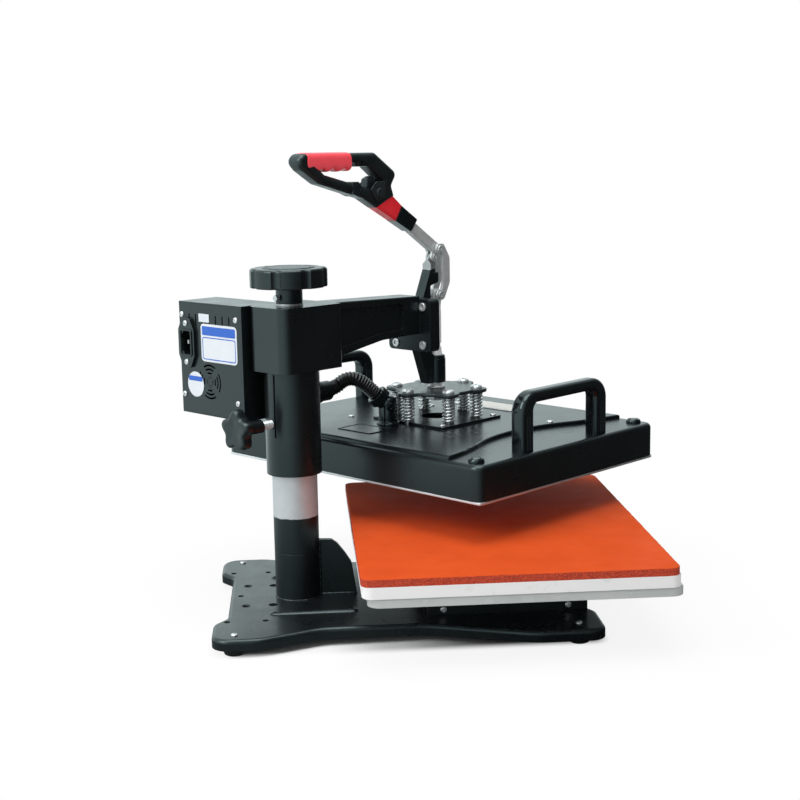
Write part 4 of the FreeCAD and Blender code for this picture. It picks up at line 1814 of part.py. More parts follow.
def ring_at(place_and_direction, radius):
    """A circle square to the route, with its start kept on one side."""
    spot, direction = place_and_direction
    steady = FreeCAD.Vector(0, 0, 1)
    sideways = unit(steady.cross(direction))
    turn = FreeCAD.Rotation(sideways, direction.cross(sideways), direction, "ZXY")
    circle = Part.makeCircle(radius)
    circle.Placement = FreeCAD.Placement(spot, turn)
    return Part.Wire([circle])


hose_edges, hose_radii = tangent_route(HOSE_ROUTE)
stations = hose_stations(hose_edges, val("hose_pitch"))
outer_rings = []
inner_rings = []
for number, station in enumerate(stations):
    crest = number % 4 in (1, 2)
    outer_rings.append(ring_at(station, val("hose_crest") if crest else val("hose_root")))
    inner_rings.append(ring_at(station, val("hose_bore")))
hose = doc.addObject("Part::Feature", "hose_tube")
hose_skin = Part.makeLoft(outer_rings, True, True)
hose_hollow = Part.makeLoft(inner_rings, True, True)
hose.Shape = hose_skin.cut(hose_hollow)
piece("heater_hose", [hose], swings=True)
hose_length = sum(edge.Length for edge in hose_edges)
print("hose length", round(hose_length, 1), "radii", [round(radius, 1) for radius in hose_radii])
hose_section = math.pi * (val("hose_root") ** 2 - val("hose_bore") ** 2)
print("hose volume", round(hose.Shape.Volume), "least expected", round(hose_section * hose_length))


# Springs: each is one wire wound up on a steady pitch
def arc_from(start, direction, end):
    """An arc that leaves a point in a direction and ends at another point."""
    chord = end - start
    normal = unit(chord - direction * chord.dot(direction))
    radius = chord.Length ** 2 / (2 * chord.dot(normal))
    centre = start + normal * radius
    middle = centre + unit((start - centre) + (end - centre)) * radius
    return Part.Arc(start, middle, end).toShape()


def two_arcs(start, first, end, last):
    """Two arcs that join two points and keep the direction at each."""
    chord = end - start
    together = first + last
    bend = 2 * (1 - first.dot(last))
    reach = (-chord.dot(together) + math.sqrt(chord.dot(together) ** 2 + bend * chord.dot(chord))) / bend
    join = (start + end + (first - last) * reach) * 0.5
    return [arc_from(start, first, join), arc_from(end, last * -1, join)]


def coil(radius, wire, turns, low, high):
    """A wire wound on the Z axis, between two heights."""
    rise = (high - low - 2 * wire) / turns
    quarters = int(round(turns * 4))
    spots = []
    for number in range(quarters + 1):
        turn = math.pi / 2 * number
        height = low + wire + rise * number / 4
        spot = FreeCAD.Vector(radius * math.cos(turn), radius * math.sin(turn), height)
        way = unit(FreeCAD.Vector(-radius * math.sin(turn), radius * math.cos(turn), rise / (2 * math.pi)))
        spots.append((spot, way))
    edges = []
    for number in range(quarters):
        pair = two_arcs(spots[number][0], spots[number][1], spots[number + 1][0], spots[number + 1][1])
        edges.append(pair[0])
        edges.append(pair[1])
    path = Part.Wire(edges)
    section = Part.Wire([Part.makeCircle(wire, spots[0][0], spots[0][1])])
    gap = rise - 2 * wire
    return path.makePipeShell([section], True, False), gap


spring_low = val("cover_field") + val("spring_plate_thick") + val("fit_gap")
spring_high = val("plate_top") - val("plate_thick") - val("fit_gap")
spring_shape, spring_gap = coil(val("spring_outer") - val("spring_wire"), val("spring_wire"),
                                val("spring_turns"), spring_low, spring_high)
print("least gap between the turns of a spring", round(spring_gap, 2))
springs = []
for number in range(SPRING_COUNT):
    spring = doc.addObject("Part::Feature", "spring_%d" % number)
    spring.Shape = spring_shape
    spot = spring_spot(number)
    springs.append(place(spring, spot[0], "-(%s)" % spot[1], 0))
piece("platen_springs", springs, swings=True)

# The head is turned to the side, and the origin goes to the middle of the whole, on the floor
doc.recompute()
for obj, swings in pieces:
    if swings:
        obj.Placement = FreeCAD.Placement(FreeCAD.Vector(), FreeCAD.Rotation(FreeCAD.Vector(0, 0, 1), 0))
        obj.setExpression("Placement.Rotation.Angle", bound("swing_angle"))
doc.recompute()
whole = FreeCAD.BoundBox()
for obj, swings in pieces:
    whole.add(obj.Shape.optimalBoundingBox())
shift = FreeCAD.Vector(-whole.Center.x, -whole.Center.y, 0)
print("post axis", round(shift.x, 3), round(shift.y, 3), "size", round(whole.XLength, 1),
      round(whole.YLength, 1), round(whole.ZMax, 1), "lowest", round(whole.ZMin, 3))
for obj, swings in pieces:
    obj.Placement = FreeCAD.Placement(shift, obj.Placement.Rotation)
doc.recompute()

# Checks before anything is written
for obj in doc.Objects:
    if "Invalid" in obj.State or "Error" in obj.State:
        raise RuntimeError("failed object: " + obj.Name)
for obj, swings in pieces:
    if obj.Shape.isNull() or not obj.Shape.isValid():
        raise RuntimeError("bad shape: " + obj.Label)

os.makedirs("parts", exist_ok=True)
for obj, swings in pieces:
    obj.Shape.exportStep("parts/" + obj.Label + ".step")
print("nodes", len(pieces))
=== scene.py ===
import math

import bmesh
import bpy
from mathutils import Matrix, Vector, geometry, noise


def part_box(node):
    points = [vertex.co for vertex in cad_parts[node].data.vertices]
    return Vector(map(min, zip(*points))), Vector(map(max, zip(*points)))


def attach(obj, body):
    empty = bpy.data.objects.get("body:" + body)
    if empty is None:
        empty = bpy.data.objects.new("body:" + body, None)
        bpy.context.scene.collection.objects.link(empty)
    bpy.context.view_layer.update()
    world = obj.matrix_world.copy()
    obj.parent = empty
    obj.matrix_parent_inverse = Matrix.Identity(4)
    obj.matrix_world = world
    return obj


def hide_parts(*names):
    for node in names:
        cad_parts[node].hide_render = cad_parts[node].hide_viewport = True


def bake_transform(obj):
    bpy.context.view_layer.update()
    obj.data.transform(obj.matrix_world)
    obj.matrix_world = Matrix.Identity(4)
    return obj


# Looks of a swing-away heat press. Lengths are written in millimetres and turned into metres by MM.
# In the head, places are "across" (towards the control box), "out" (from the post along the arm)
# and height. In the base they are X, distance to the front, and height, from the post's axis.

MM = 0.001
SWING = math.radians(41.5)

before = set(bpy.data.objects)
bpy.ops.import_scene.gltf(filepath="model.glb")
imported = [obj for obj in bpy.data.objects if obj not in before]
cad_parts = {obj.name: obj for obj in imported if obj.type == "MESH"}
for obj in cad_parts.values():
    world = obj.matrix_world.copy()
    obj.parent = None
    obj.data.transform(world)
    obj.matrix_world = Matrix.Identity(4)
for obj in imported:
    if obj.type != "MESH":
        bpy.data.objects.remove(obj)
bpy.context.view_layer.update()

post_low, post_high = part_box("post_tube")
POST = (post_low + post_high) / 2
POST.z = 0
HEAD = Matrix.Translation(POST) @ Matrix.Rotation(SWING, 4, "Z")
BASE = Matrix.Translation(POST)


# Shader helpers
class Graph:
    """A node tree with short calls that add to it."""

    def __init__(self, owner):
        owner.use_nodes = True
        self.tree = owner.node_tree

    def feed(self, source, socket):
        """Link another node's output to an input, or set the input's own value."""
        if isinstance(source, bpy.types.NodeSocket):
            self.tree.links.new(source, socket)
        else:
            socket.default_value = source

    def node(self, kind, inputs=(), **settings):
        """A new node. Inputs gives what goes into its sockets, by their names or numbers."""
        made = self.tree.nodes.new("ShaderNode" + kind)
        for key, value in settings.items():
            setattr(made, key, value)
        for key, source in dict(inputs).items():
            self.feed(source, made.inputs[key])
        return made

    def number_step(self, operation, first, second):
        """One step of arithmetic."""
        return self.node("Math", {0: first, 1: second}, operation=operation).outputs[0]

    def vector_step(self, operation, first, second=(0, 0, 0), output="Vector"):
        """One step of vector arithmetic."""
        made = self.node("VectorMath", {0: first, 1: second}, operation=operation)
        return made.outputs[output]

    def remap(self, source, low, high, to_low, to_high, curve="LINEAR"):
        """A value moved from one range into another."""
        ranges = {"Value": source, "From Min": low, "From Max": high, "To Min": to_low, "To Max": to_high}
        return self.node("MapRange", ranges, interpolation_type=curve).outputs["Result"]

    def light_mix(self, fac, first, second):
        """Two shaders mixed by a value."""
        return self.node("MixShader", {0: fac, 1: first, 2: second}).outputs[0]


PAINT = (0.0042, 0.0052, 0.0058)
PAINT_PALE = (0.0058, 0.007, 0.0078)
SHEEN = (0.78, 0.98, 1.0, 1)


class Surface(Graph):
    """One material. Sheen gives it a faint blue-green reflection."""

    def __init__(self, name, colour, roughness, metallic=0.0, specular=0.5, sheen=False):
        self.material = bpy.data.materials.new(name)
        super().__init__(self.material)
        self.shader = self.tree.nodes["Principled BSDF"]
        self.put("Base Color", (*colour, 1))
        self.put("Roughness", roughness)
        self.put("Metallic", metallic)
        self.put("Specular IOR Level", specular)
        if sheen:
            self.put("Specular Tint", SHEEN)
        self.place = self.node("TexCoord").outputs["Object"]
        self.normal = None

    def put(self, name, source):
        self.feed(source, self.shader.inputs[name])

    def noise(self, size, detail=3.0, vector=None):
        """Noise with grains of a size in millimetres."""
        inputs = {"Scale": 1 / (size * MM), "Detail": detail, "Vector": vector or self.place}
        return self.node("TexNoise", inputs).outputs["Fac"]

    def cells(self, size):
        """Pebbles of a size in millimetres."""
        inputs = {"Scale": 1 / (size * MM), "Vector": self.place}
        return self.node("TexVoronoi", inputs).outputs["Distance"]

    def blend(self, fac, *colours):
        """Two colours mixed by a value. A colour is a socket or three numbers."""
        first, second = ((*colour, 1) if isinstance(colour, tuple) else colour for colour in colours)
        return self.node("Mix", {0: fac, 6: first, 7: second}, data_type="RGBA").outputs[2]

    def vary_colour(self, first, second, size):
        """Soft patches between two close colours."""
        patches = self.remap(self.noise(size, 4.0), 0.35, 0.65, 0, 1)
        self.put("Base Color", self.blend(patches, first, second))

    def vary_roughness(self, low, high, size):
        """Patches that are a little duller or shinier."""
        self.put("Roughness", self.remap(self.noise(size, 4.0), 0.3, 0.7, low, high))

    def above(self, height, softness):
        """A mask that is 1 above a height and 0 below it, with a slightly uneven line."""
        split = self.node("SeparateXYZ", {"Vector": self.place})
        shift = self.remap(self.noise(7, 2.0), 0.3, 0.7, -0.6 * MM, 0.6 * MM)
        raised = self.number_step("ADD", split.outputs["Z"], shift)
        return self.remap(raised, (height - softness) * MM, (height + softness) * MM, 0, 1)

    def soften(self, radius):
        """Round every edge by a radius in millimetres, in the shading."""
        self.normal = self.node("Bevel", {"Radius": radius * MM}, samples=4).outputs["Normal"]
        self.put("Normal", self.normal)

    def relief(self, height, depth, strength):
        """Raise the surface by a height source. The depth is in millimetres."""
        made = self.node("Bump", {"Strength": strength, "Distance": depth * MM, "Height": height})
        if self.normal is not None:
            self.feed(self.normal, made.inputs["Normal"])
        self.put("Normal", made.outputs["Normal"])


# Materials
def finish(name, low, high, patch, dull, spots=0, edge=0, grain=None, **shading):
    """A material with patches between two colours and spots between two degrees of dullness, edges rounded
    in the shading, and a grain, which is its size, detail, depth and strength."""
    made = Surface(name, low, dull[0], **shading)
    made.vary_colour(low, high, patch)
    if spots:
        made.vary_roughness(*dull, spots)
    if edge:
        made.soften(edge)
    if grain:
        size, detail, depth, strength = grain
        made.relief(made.noise(size, detail), depth, strength)
    return made.material


def black(name, shade=1.0, **details):
    """A black finish: the colours of the paint, made lighter by a factor."""
    low, high = (tuple(part * shade for part in colour) for colour in (PAINT, PAINT_PALE))
    return finish(name, low, high, sheen=True, **details)


def moulded(name, roughness, shade=1.0):
    """Moulded black plastic with a fine spark-eroded grain."""
    return black(name, shade, patch=18, dull=(roughness - 0.04, roughness + 0.05), spots=9, edge=0.5,
                 grain=(0.45, 2.0, 0.03, 0.35))


def red_plastic(name, low, high):
    """Red soft-touch moulding of the grip."""
    return finish(name, low, high, patch=22, dull=(0.32, 0.42), spots=8, edge=0.5,
                  grain=(0.5, 2.0, 0.02, 0.3), specular=0.4)


def brushed(name, low, high, metallic):
    """Flat steel of the lever, the links and the plunger."""
    return finish(name, low, high, patch=5, dull=(0.28, 0.42), spots=1.2, edge=0.4,
                  grain=(0.5, 3.0, 0.01, 0.5), metallic=metallic)


def label_film(name, colour):
    """Film of a blank label."""
    return finish(name, tuple(part * 0.96 for part in colour), colour, patch=12, dull=(0.3, 0.42), spots=6,
                  grain=(1.5, 3.0, 0.01, 0.3), specular=0.4)


def post_finish():
    """Post: painted below, with a bare polished band under the sleeve."""
    made = Surface("post_finish", PAINT, 0.3, sheen=True)
    bare = made.above(101.8, 0.35)
    steel = made.blend(made.noise(9), (0.52, 0.54, 0.56), (0.6, 0.62, 0.64))
    paint = made.blend(made.noise(30), PAINT, PAINT_PALE)
    made.put("Base Color", made.blend(bare, paint, steel))
    made.put("Metallic", made.remap(bare, 0, 1, 0, 0.35))
    along = made.node("Mapping", {"Vector": made.place, "Scale": (1.0, 1.0, 0.06)}).outputs["Vector"]
    dull = made.remap(made.noise(1.5, vector=along), 0.3, 0.7, 0.34, 0.44)
    made.put("Roughness", made.node("Mix", {0: bare, 2: 0.3, 3: dull}).outputs[0])
    made.soften(0.4)
    made.relief(made.noise(1.1, 2.0), 0.04, 0.3)
    return made.material


def casting_finish():
    """Toggle casting: black paint, machined bare at the top of its tower."""
    made = Surface("casting_finish", PAINT, 0.3, sheen=True)
    bare = made.above(335.2, 0.25)
    steel = made.blend(made.noise(4), (0.3, 0.31, 0.32), (0.42, 0.43, 0.44))
    made.put("Base Color", made.blend(bare, PAINT, steel))
    made.put("Metallic", made.remap(bare, 0, 1, 0, 0.7))
    made.vary_roughness(0.27, 0.36, 8)
    made.soften(0.7)
    made.relief(made.noise(1.4), 0.08, 0.4)
    return made.material


def board_fibre():
    """White rubber board under the silicone pad, with small scuffs on its edge."""
    made = Surface("board_fibre", (0.8, 0.8, 0.79), 0.6, specular=0.3)
    scuffs = made.remap(made.noise(14, 6.0), 0.62, 0.72, 0, 0.5)
    clean = made.blend(made.noise(60), (0.79, 0.795, 0.79), (0.83, 0.83, 0.825))
    made.put("Base Color", made.blend(scuffs, clean, (0.62, 0.61, 0.58)))
    made.vary_roughness(0.52, 0.68, 12)
    made.soften(0.6)
    made.relief(made.noise(0.8), 0.05, 0.5)
    return made.material


def silicone_cut():
    """Cut side of the sponge: open pores, darker inside with painted shade."""
    made = Surface("silicone_cut", (0.56, 0.06, 0.02), 0.75, specular=0.2)
    pores = made.remap(made.cells(1.15), 0.1, 0.42, 0, 1)
    grain = made.remap(made.noise(0.9), 0.36, 0.56, 0, 1)
    # Painted shade: each pore is darker towards its middle.
    pore_shade = made.blend(pores, (0.16, 0.012, 0.006), (0.62, 0.08, 0.035))
    made.put("Base Color", made.blend(grain, (0.28, 0.026, 0.014), pore_shade))
    made.relief(made.cells(1.15), 0.6, 0.9)
    return made.material


# Satin powder coat, the platen cover's pebbled enamel, glossy handles, plastics and the panel's film
POWDER = black("powder_coat", patch=60, dull=(0.25, 0.33), spots=25, edge=0.7, grain=(1.1, 2.0, 0.05, 0.35))
COVER = black("cover_paint", patch=70, dull=(0.25, 0.28), spots=30, edge=0.6, grain=(0.9, 2.0, 0.015, 0.25))
HANDLE = black("gloss_black", patch=25, dull=(0.08, 0.13), spots=14, edge=0.5, grain=(6, 2.0, 0.05, 0.25))
PLASTIC = moulded("moulded_black", 0.28)
KNOB_PLASTIC = moulded("knob_plastic", 0.3, 1.2)
SATIN_PLASTIC = moulded("satin_plastic", 0.38, 3.0)
GRIP_GREY = moulded("grip_grey", 0.36, 1.8)
OVERLAY = moulded("overlay_film", 0.45, 6.0)
RED = red_plastic("red_plastic", (0.76, 0.010, 0.020), (0.82, 0.016, 0.03))
# The grip cover's red is lighter and pinker than the collar's: painted light for the light that falls on the
# cover.
COVER_RED_PAINTED_LIGHT = red_plastic("cover_red_painted_light", (0.92, 0.07, 0.095), (0.96, 0.085, 0.11))

# Metals
ZINC = finish("zinc", (0.6, 0.62, 0.63), (0.72, 0.74, 0.75), patch=6, dull=(0.22, 0.4), spots=2.5, edge=0.3,
              grain=(0.6, 3.0, 0.015, 0.4), metallic=0.65)
WIRE = finish("drawn_wire", (0.72, 0.73, 0.75), (0.82, 0.83, 0.84), patch=4, dull=(0.1, 0.22), spots=3,
              metallic=0.8)
BAR = brushed("brushed_flat", (0.56, 0.58, 0.58), (0.64, 0.66, 0.66), 0.4)
# Polished steel given a near-white colour and little metal: painted light, so that the plunger and the
# bush's flare look lit where the boss shades them.
STEEL_WITH_PAINTED_LIGHT = brushed("polished_steel_painted_light", (0.86, 0.88, 0.88), (0.92, 0.94, 0.94), 0.2)
OXIDE = finish("black_oxide", (0.021, 0.024, 0.026), (0.028, 0.031, 0.033), patch=10, dull=(0.26, 0.36),
               spots=5, edge=0.4, grain=(0.7, 3.0, 0.03, 0.4), sheen=True)
ALUMINIUM = finish("heat_aluminium", (0.7, 0.71, 0.72), (0.8, 0.81, 0.82), patch=30, dull=(0.32, 0.48),
                   spots=6, edge=0.6, grain=(0.8, 3.0, 0.02, 0.4), metallic=0.85)
ENAMEL = finish("tray_enamel", (0.46, 0.49, 0.48), (0.5, 0.53, 0.52), patch=50, dull=(0.22, 0.3), spots=20,
                edge=0.5, grain=(1.2, 2.0, 0.04, 0.3))

# Rubber, silicone, blank labels, and what is inside the head
RUBBER = finish("black_rubber", (0.005, 0.005, 0.005), (0.009, 0.009, 0.009), patch=6, dull=(0.45, 0.58),
                spots=4, edge=0.8, grain=(0.6, 3.0, 0.05, 0.4), specular=0.35)
HOSE = finish("hose_skin", (0.005, 0.0055, 0.006), (0.009, 0.0095, 0.01), patch=8, dull=(0.27, 0.38),
              spots=5, grain=(0.6, 3.0, 0.03, 0.4))
SPONGE_TOP = finish("silicone_skin", (0.56, 0.066, 0.010), (0.61, 0.076, 0.013), patch=45, dull=(0.55, 0.66),
                    spots=16, grain=(0.7, 3.0, 0.03, 0.5), specular=0.06)
SPONGE_SIDE = silicone_cut()
LABEL_WHITE = label_film("label_white", (0.66, 0.7, 0.74))
PLATE_GREY = label_film("plate_grey", (0.6, 0.58, 0.54))
LABEL_PALE = label_film("label_pale", (0.62, 0.68, 0.72))
LABEL_BLUE = label_film("label_blue", (0.02, 0.11, 0.5))
FIBRE = finish("mineral_fibre", (0.55, 0.52, 0.45), (0.66, 0.63, 0.56), patch=4, dull=(0.9,),
               grain=(1.0, 6.0, 0.6, 0.8), specular=0.2)
CIRCUIT = finish("circuit_green", (0.012, 0.1, 0.035), (0.02, 0.14, 0.05), patch=3, dull=(0.4,),
                 grain=(1.0, 3.0, 0.03, 0.3))
GLASS = finish("display_glass", (0.007, 0.007, 0.009), (0.01, 0.01, 0.013), patch=8, dull=(0.06, 0.12),
               spots=10, edge=0.4, specular=0.55)

FINISHES = (
    (POWDER, "base_plate post_gusset platen_support swing_sleeve collar_box head_arm control_shell"),
    (POWDER, "control_panel spring_base_plate"),
    (COVER, "platen_cover"),
    (casting_finish(), "toggle_casting"),
    (post_finish(), "post_tube"),
    (ZINC, "casting_screws fulcrum_pin panel_screws link_screws plunger_fasteners plunger_rod lift_screw"),
    (ZINC, "clamp_bolt knob_set_screw anchor_bolt lift_nut thrust_bearing guide_bush shoulder_screws"),
    (ZINC, "base_screws"),
    (BAR, "toggle_links lever_fork heating_element"),
    (WIRE, "platen_springs"),
    (OXIDE, "pressure_plate platen_screws"),
    (ALUMINIUM, "heat_plate"),
    (KNOB_PLASTIC, "lift_knob clamp_knob"),
    (HANDLE, "platen_handles power_rocker"),
    (PLASTIC, "lever_socket grip_frame mains_inlet fan_frame fan_rotor hose_gland hose_elbow"),
    (SATIN_PLASTIC, "grip_trigger button_1 button_2 button_3"),
    (RED, "lever_sleeve grip_cover"),
    (HOSE, "heater_hose"),
    (RUBBER, "rubber_feet"),
    (ENAMEL, "lower_tray"),
    (board_fibre(), "pad_board"),
    (SPONGE_TOP, "silicone_pad"),
    (FIBRE, "insulation"),
    (CIRCUIT, "circuit_board"),
    (GLASS, "display_unit"),
)
finish_of = {name: material for material, names in FINISHES for name in names.split()}
for name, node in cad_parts.items():
    node.data.materials.clear()
    node.data.materials.append(finish_of[name])


# Form helpers. Forms are drawn in millimetres, and moved into the frame when they become pieces
def wheel(steps):
    """The angles of even steps round a circle."""
    return [2 * math.pi * step / steps for step in range(steps)]


def rounded(points, steps=6):
    """Corner points as a smooth closed line. A point is two numbers and, where it is rounded, a radius."""
    line = []
    count = len(points)
    for index, point in enumerate(points):
        here = Vector(point[:2])
        if len(point) < 3:
            line.append(here)
            continue
        radius = point[2]
        back = (Vector(points[index - 1][:2]) - here).normalized()
        ahead = (Vector(points[(index + 1) % count][:2]) - here).normalized()
        half = back.angle(ahead) / 2
        centre = here + (back + ahead).normalized() * (radius / math.sin(half))
        start = here + back * (radius / math.tan(half)) - centre
        end = here + ahead * (radius / math.tan(half)) - centre
        sweep = start.angle_signed(end)
        for step in range(steps + 1):
            line.append(centre + start @ Matrix.Rotation(sweep * step / steps, 2))
    return line


def rectangle(low_x, low_y, high_x, high_y, radius, steps=6):
    """A rounded rectangle's line."""
    corners = ((low_x, low_y), (high_x, low_y), (high_x, high_y), (low_x, high_y))
    return rounded([(*corner, radius) for corner in corners], steps)


def circle(centre, radius, steps=48):
    """A circle's line, or with few steps a nut's."""
    return [Vector((centre[0] + radius * math.cos(angle), centre[1] + radius * math.sin(angle)))
            for angle in wheel(steps)]


def into_mesh(form):
    """A plain mesh from a drawn form."""
    mesh = bpy.data.meshes.new("form")
    form.to_mesh(mesh)
    form.free()
    return mesh


def moved(mesh, matrix):
    """The same mesh at another place."""
    mesh.transform(matrix)
    return mesh


def bridge(form, rings):
    """Join rings of points with faces. A ring of one point closes an end."""
    for low, high in zip(rings, rings[1:]):
        count = max(len(low), len(high))
        for step in range(count):
            after = (step + 1) % count
            if len(low) == 1:
                form.faces.new((low[0], high[step], high[after]))
            elif len(high) == 1:
                form.faces.new((low[step], low[after], high[0]))
            else:
                form.faces.new((low[step], low[after], high[after], high[step]))


def solid(form, rings):
    """A mesh of rings that are joined and closed at both ends."""
    bridge(form, rings)
    form.faces.new(rings[0])
    form.faces.new(rings[-1])
    return into_mesh(form)


def turned(profile, steps=48, reach=None):
    """A round form about Z from pairs of radius and height. Reach may bend each circle into an outline:
    it turns an angle and a radius into a distance from the axis."""
    form = bmesh.new()
    rings = []
    for radius, height in profile:
        if radius <= 0:
            rings.append([form.verts.new((0, 0, height))])
            continue
        ring = []
        for angle in wheel(steps):
            away = reach(angle, radius) if reach else radius
            ring.append(form.verts.new((away * math.cos(angle), away * math.sin(angle), height)))
        rings.append(ring)
    bridge(form, rings)
    return into_mesh(form)


def new_curve(dimensions, kind, *lines):
    """A curve with a spline along each line of points."""
    curve = bpy.data.curves.new("curve", "CURVE")
    curve.dimensions = dimensions
    for line in lines:
        spline = curve.splines.new(kind)
        spline.points.add(len(line) - 1)
        for point, spot in zip(spline.points, line):
            point.co = (*spot.to_3d(), 1)
    return curve


def curve_mesh(curve):
    """A curve's mesh. The curve itself is removed."""
    holder = bpy.data.objects.new("curve", curve)
    mesh = bpy.data.meshes.new_from_object(holder)
    bpy.data.objects.remove(holder)
    bpy.data.curves.remove(curve)
    return mesh


def slab(outline, low, high, edge, holes=()):
    """A flat form with rounded edges between two levels."""
    curve = new_curve("2D", "POLY", outline, *holes)
    curve.fill_mode = "BOTH"
    curve.extrude = (high - low) / 2 - edge
    curve.bevel_depth = edge
    curve.bevel_resolution = 3
    curve.offset = -edge
    for spline in curve.splines:
        spline.use_cyclic_u = True
    return moved(curve_mesh(curve), Matrix.Translation((0, 0, (low + high) / 2)))


def smooth_route(points):
    """The line of a smooth curve that is steered by a few points."""
    curve = new_curve("3D", "NURBS", points)
    curve.resolution_u = 24
    spline = curve.splines[0]
    spline.order_u = 3
    spline.use_endpoint_u = True
    mesh = curve_mesh(curve)
    line = [vertex.co.copy() for vertex in mesh.vertices]
    bpy.data.meshes.remove(mesh)
    return line


def bar(radius, start, end, edge=0.3):
    """A round bar along Z with broken edges."""
    return turned([(0, start), (radius - edge, start), (radius, start + edge), (radius, end - edge),
                   (radius - edge, end), (0, end)], 24)


def joined(*meshes):
    """Several forms as one mesh."""
    form = bmesh.new()
    for mesh in meshes:
        form.from_mesh(mesh)
        bpy.data.meshes.remove(mesh)
    return into_mesh(form)


def copies(mesh, matrices):
    """One mesh with a copy of a form at each place."""
    made = [moved(mesh.copy(), matrix) for matrix in matrices]
    bpy.data.meshes.remove(mesh)
    return joined(*made)


def carved(mesh, *tools):
    """A form with other forms taken away from it."""
    holder = bpy.data.objects.new("body", mesh)
    cutter = bpy.data.objects.new("tool", joined(*tools))
    for item in (holder, cutter):
        bpy.context.scene.collection.objects.link(item)
    change = holder.modifiers.new("cut", "BOOLEAN")
    change.operation = "DIFFERENCE"
    change.solver = "EXACT"
    change.use_self = True
    change.object = cutter
    bpy.context.view_layer.update()
    result = bpy.data.meshes.new_from_object(holder.evaluated_get(bpy.context.evaluated_depsgraph_get()))
    for item in (holder, cutter):
        spent = item.data
        bpy.data.objects.remove(item)
        bpy.data.meshes.remove(spent)
    return result


def evenly(line, count):
    """Places at even distances along a line."""
    lengths = [0.0]
    for first, last in zip(line, line[1:]):
        lengths.append(lengths[-1] + (last - first).length)
    places = []
    index = 0
    for step in range(count + 1):
        wanted = lengths[-1] * step / count
        while index < len(line) - 2 and lengths[index + 1] < wanted:
            index += 1
        share = (wanted - lengths[index]) / (lengths[index + 1] - lengths[index])
        places.append(line[index].lerp(line[index + 1], share))
    return places


def tube_rings(form, places, radius_at, steps):
    """Circles square to a line of places. The radius may change along it and round it."""
    rings = []
    side = None
    for index, spot in enumerate(places):
        before = places[max(index - 1, 0)]
        after = places[min(index + 1, len(places) - 1)]
        direction = (after - before).normalized()
        side = side or direction.orthogonal()
        side = (side - direction * side.dot(direction)).normalized()
        other = direction.cross(side)
        ring = []
        for angle in wheel(steps):
            away = side * math.cos(angle) + other * math.sin(angle)
            ring.append(form.verts.new(spot + away * radius_at(index, angle)))
        rings.append(ring)
    return rings


def swept(places, radius_at, steps):
    """A solid round form along a line of places."""
    form = bmesh.new()
    return solid(form, tube_rings(form, places, radius_at, steps))


def pipe(places, radius_at, bore, steps=28):
    """A hollow round form along a line of places."""
    form = bmesh.new()
    outer = tube_rings(form, places, radius_at, steps)
    inner = tube_rings(form, places, lambda index, angle: bore, steps)
    bridge(form, outer + inner[::-1] + [outer[0]])
    return into_mesh(form)


# How a drawn form lies in the head or the base. Each matrix turns the form's X, Y and Z
SIDE = Matrix(((0, 0, -1), (-1, 0, 0), (0, 1, 0))).to_4x4()     # out, height, across
PLAN = Matrix(((1, 0, 0), (0, -1, 0), (0, 0, 1))).to_4x4()      # across, out, height
REAR = Matrix(((1, 0, 0), (0, 0, 1), (0, 1, 0))).to_4x4()       # across, height, backwards
SIDEWAYS = Matrix(((0, 0, 1), (0, 1, 0), (1, 0, 0))).to_4x4()   # its Z points across
COUNTER = Matrix.Rotation(math.pi, 4, "Y") @ SIDEWAYS           # its Z points the other way


def at(across, out, height):
    """A move to a place in the head or the base."""
    return Matrix.Translation((across, -out, height))


def both_sides(inner, outer):
    """The same span across on both sides of the middle."""
    return ((inner, outer), (-outer, -inner))


def side_slab(outline, low, high, edge, holes=()):
    """A slab whose outline is drawn as out and height, and its thickness across."""
    return moved(slab(outline, low, high, edge, holes), SIDE)


def piece(name, mesh, material, body, instead="", home=HEAD, sharp=35):
    """One finished piece. Body is the one it rides on, or, for a piece between two bodies, a tuple that is
    not read further, so that the piece stays where it was drawn. Instead is the node it stands for, and home
    the frame it was drawn in."""
    mesh.transform(home @ Matrix.Scale(MM, 4))
    form = bmesh.new()
    form.from_mesh(mesh)
    bmesh.ops.recalc_face_normals(form, faces=form.faces)
    form.to_mesh(mesh)
    form.free()
    mesh.name = name
    mesh.materials.clear()
    mesh.materials.append(material)
    for face in mesh.polygons:
        face.use_smooth = True
        face.material_index = 0
    mesh.set_sharp_from_angle(angle=math.radians(sharp))
    made = bpy.data.objects.new(name, mesh)
    bpy.context.scene.collection.objects.link(made)
    shading = made.modifiers.new("flat faces", "WEIGHTED_NORMAL")
    shading.keep_sharp = True
    if isinstance(body, tuple):
        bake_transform(made)
    else:
        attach(made, body)
    if instead:
        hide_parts(instead)
    return made


# Screw heads, with their seat at Z = 0
def pan_head(radius, rise, cross=0.58):
    """A domed head with a cross recess."""
    dome = turned([(0, 0), (radius, 0), (radius, rise * 0.3), (radius * 0.95, rise * 0.58),
                   (radius * 0.78, rise * 0.86), (radius * 0.45, rise * 0.98), (0, rise)], 32)
    arm = radius * 0.12
    plus = []
    for turn in range(4):
        spin = Matrix.Rotation(math.pi / 2 * turn, 2)
        for spot in ((radius * cross, -arm), (radius * cross, arm), (arm, arm)):
            plus.append(spin @ Vector(spot))
    return carved(dome, slab(plus, rise * 0.35, rise * 1.6, 0.01))


def socket_head(radius, rise):
    """A round head with a hexagon socket."""
    edge = min(radius, rise) * 0.18
    block = turned([(0, 0), (radius, 0), (radius, rise - edge), (radius - edge, rise), (0, rise)], 32)
    return carved(block, slab(circle((0, 0), radius * 0.58, 6), rise * 0.35, rise * 1.6, 0.01))


def screws(places, first=0):
    """Places of screws, each turned about its own axis by its number, so that no two slots stand alike."""
    return [place @ Matrix.Rotation(0.4 + 1.9 * number, 4, "Z")
            for number, place in enumerate(places, first)]


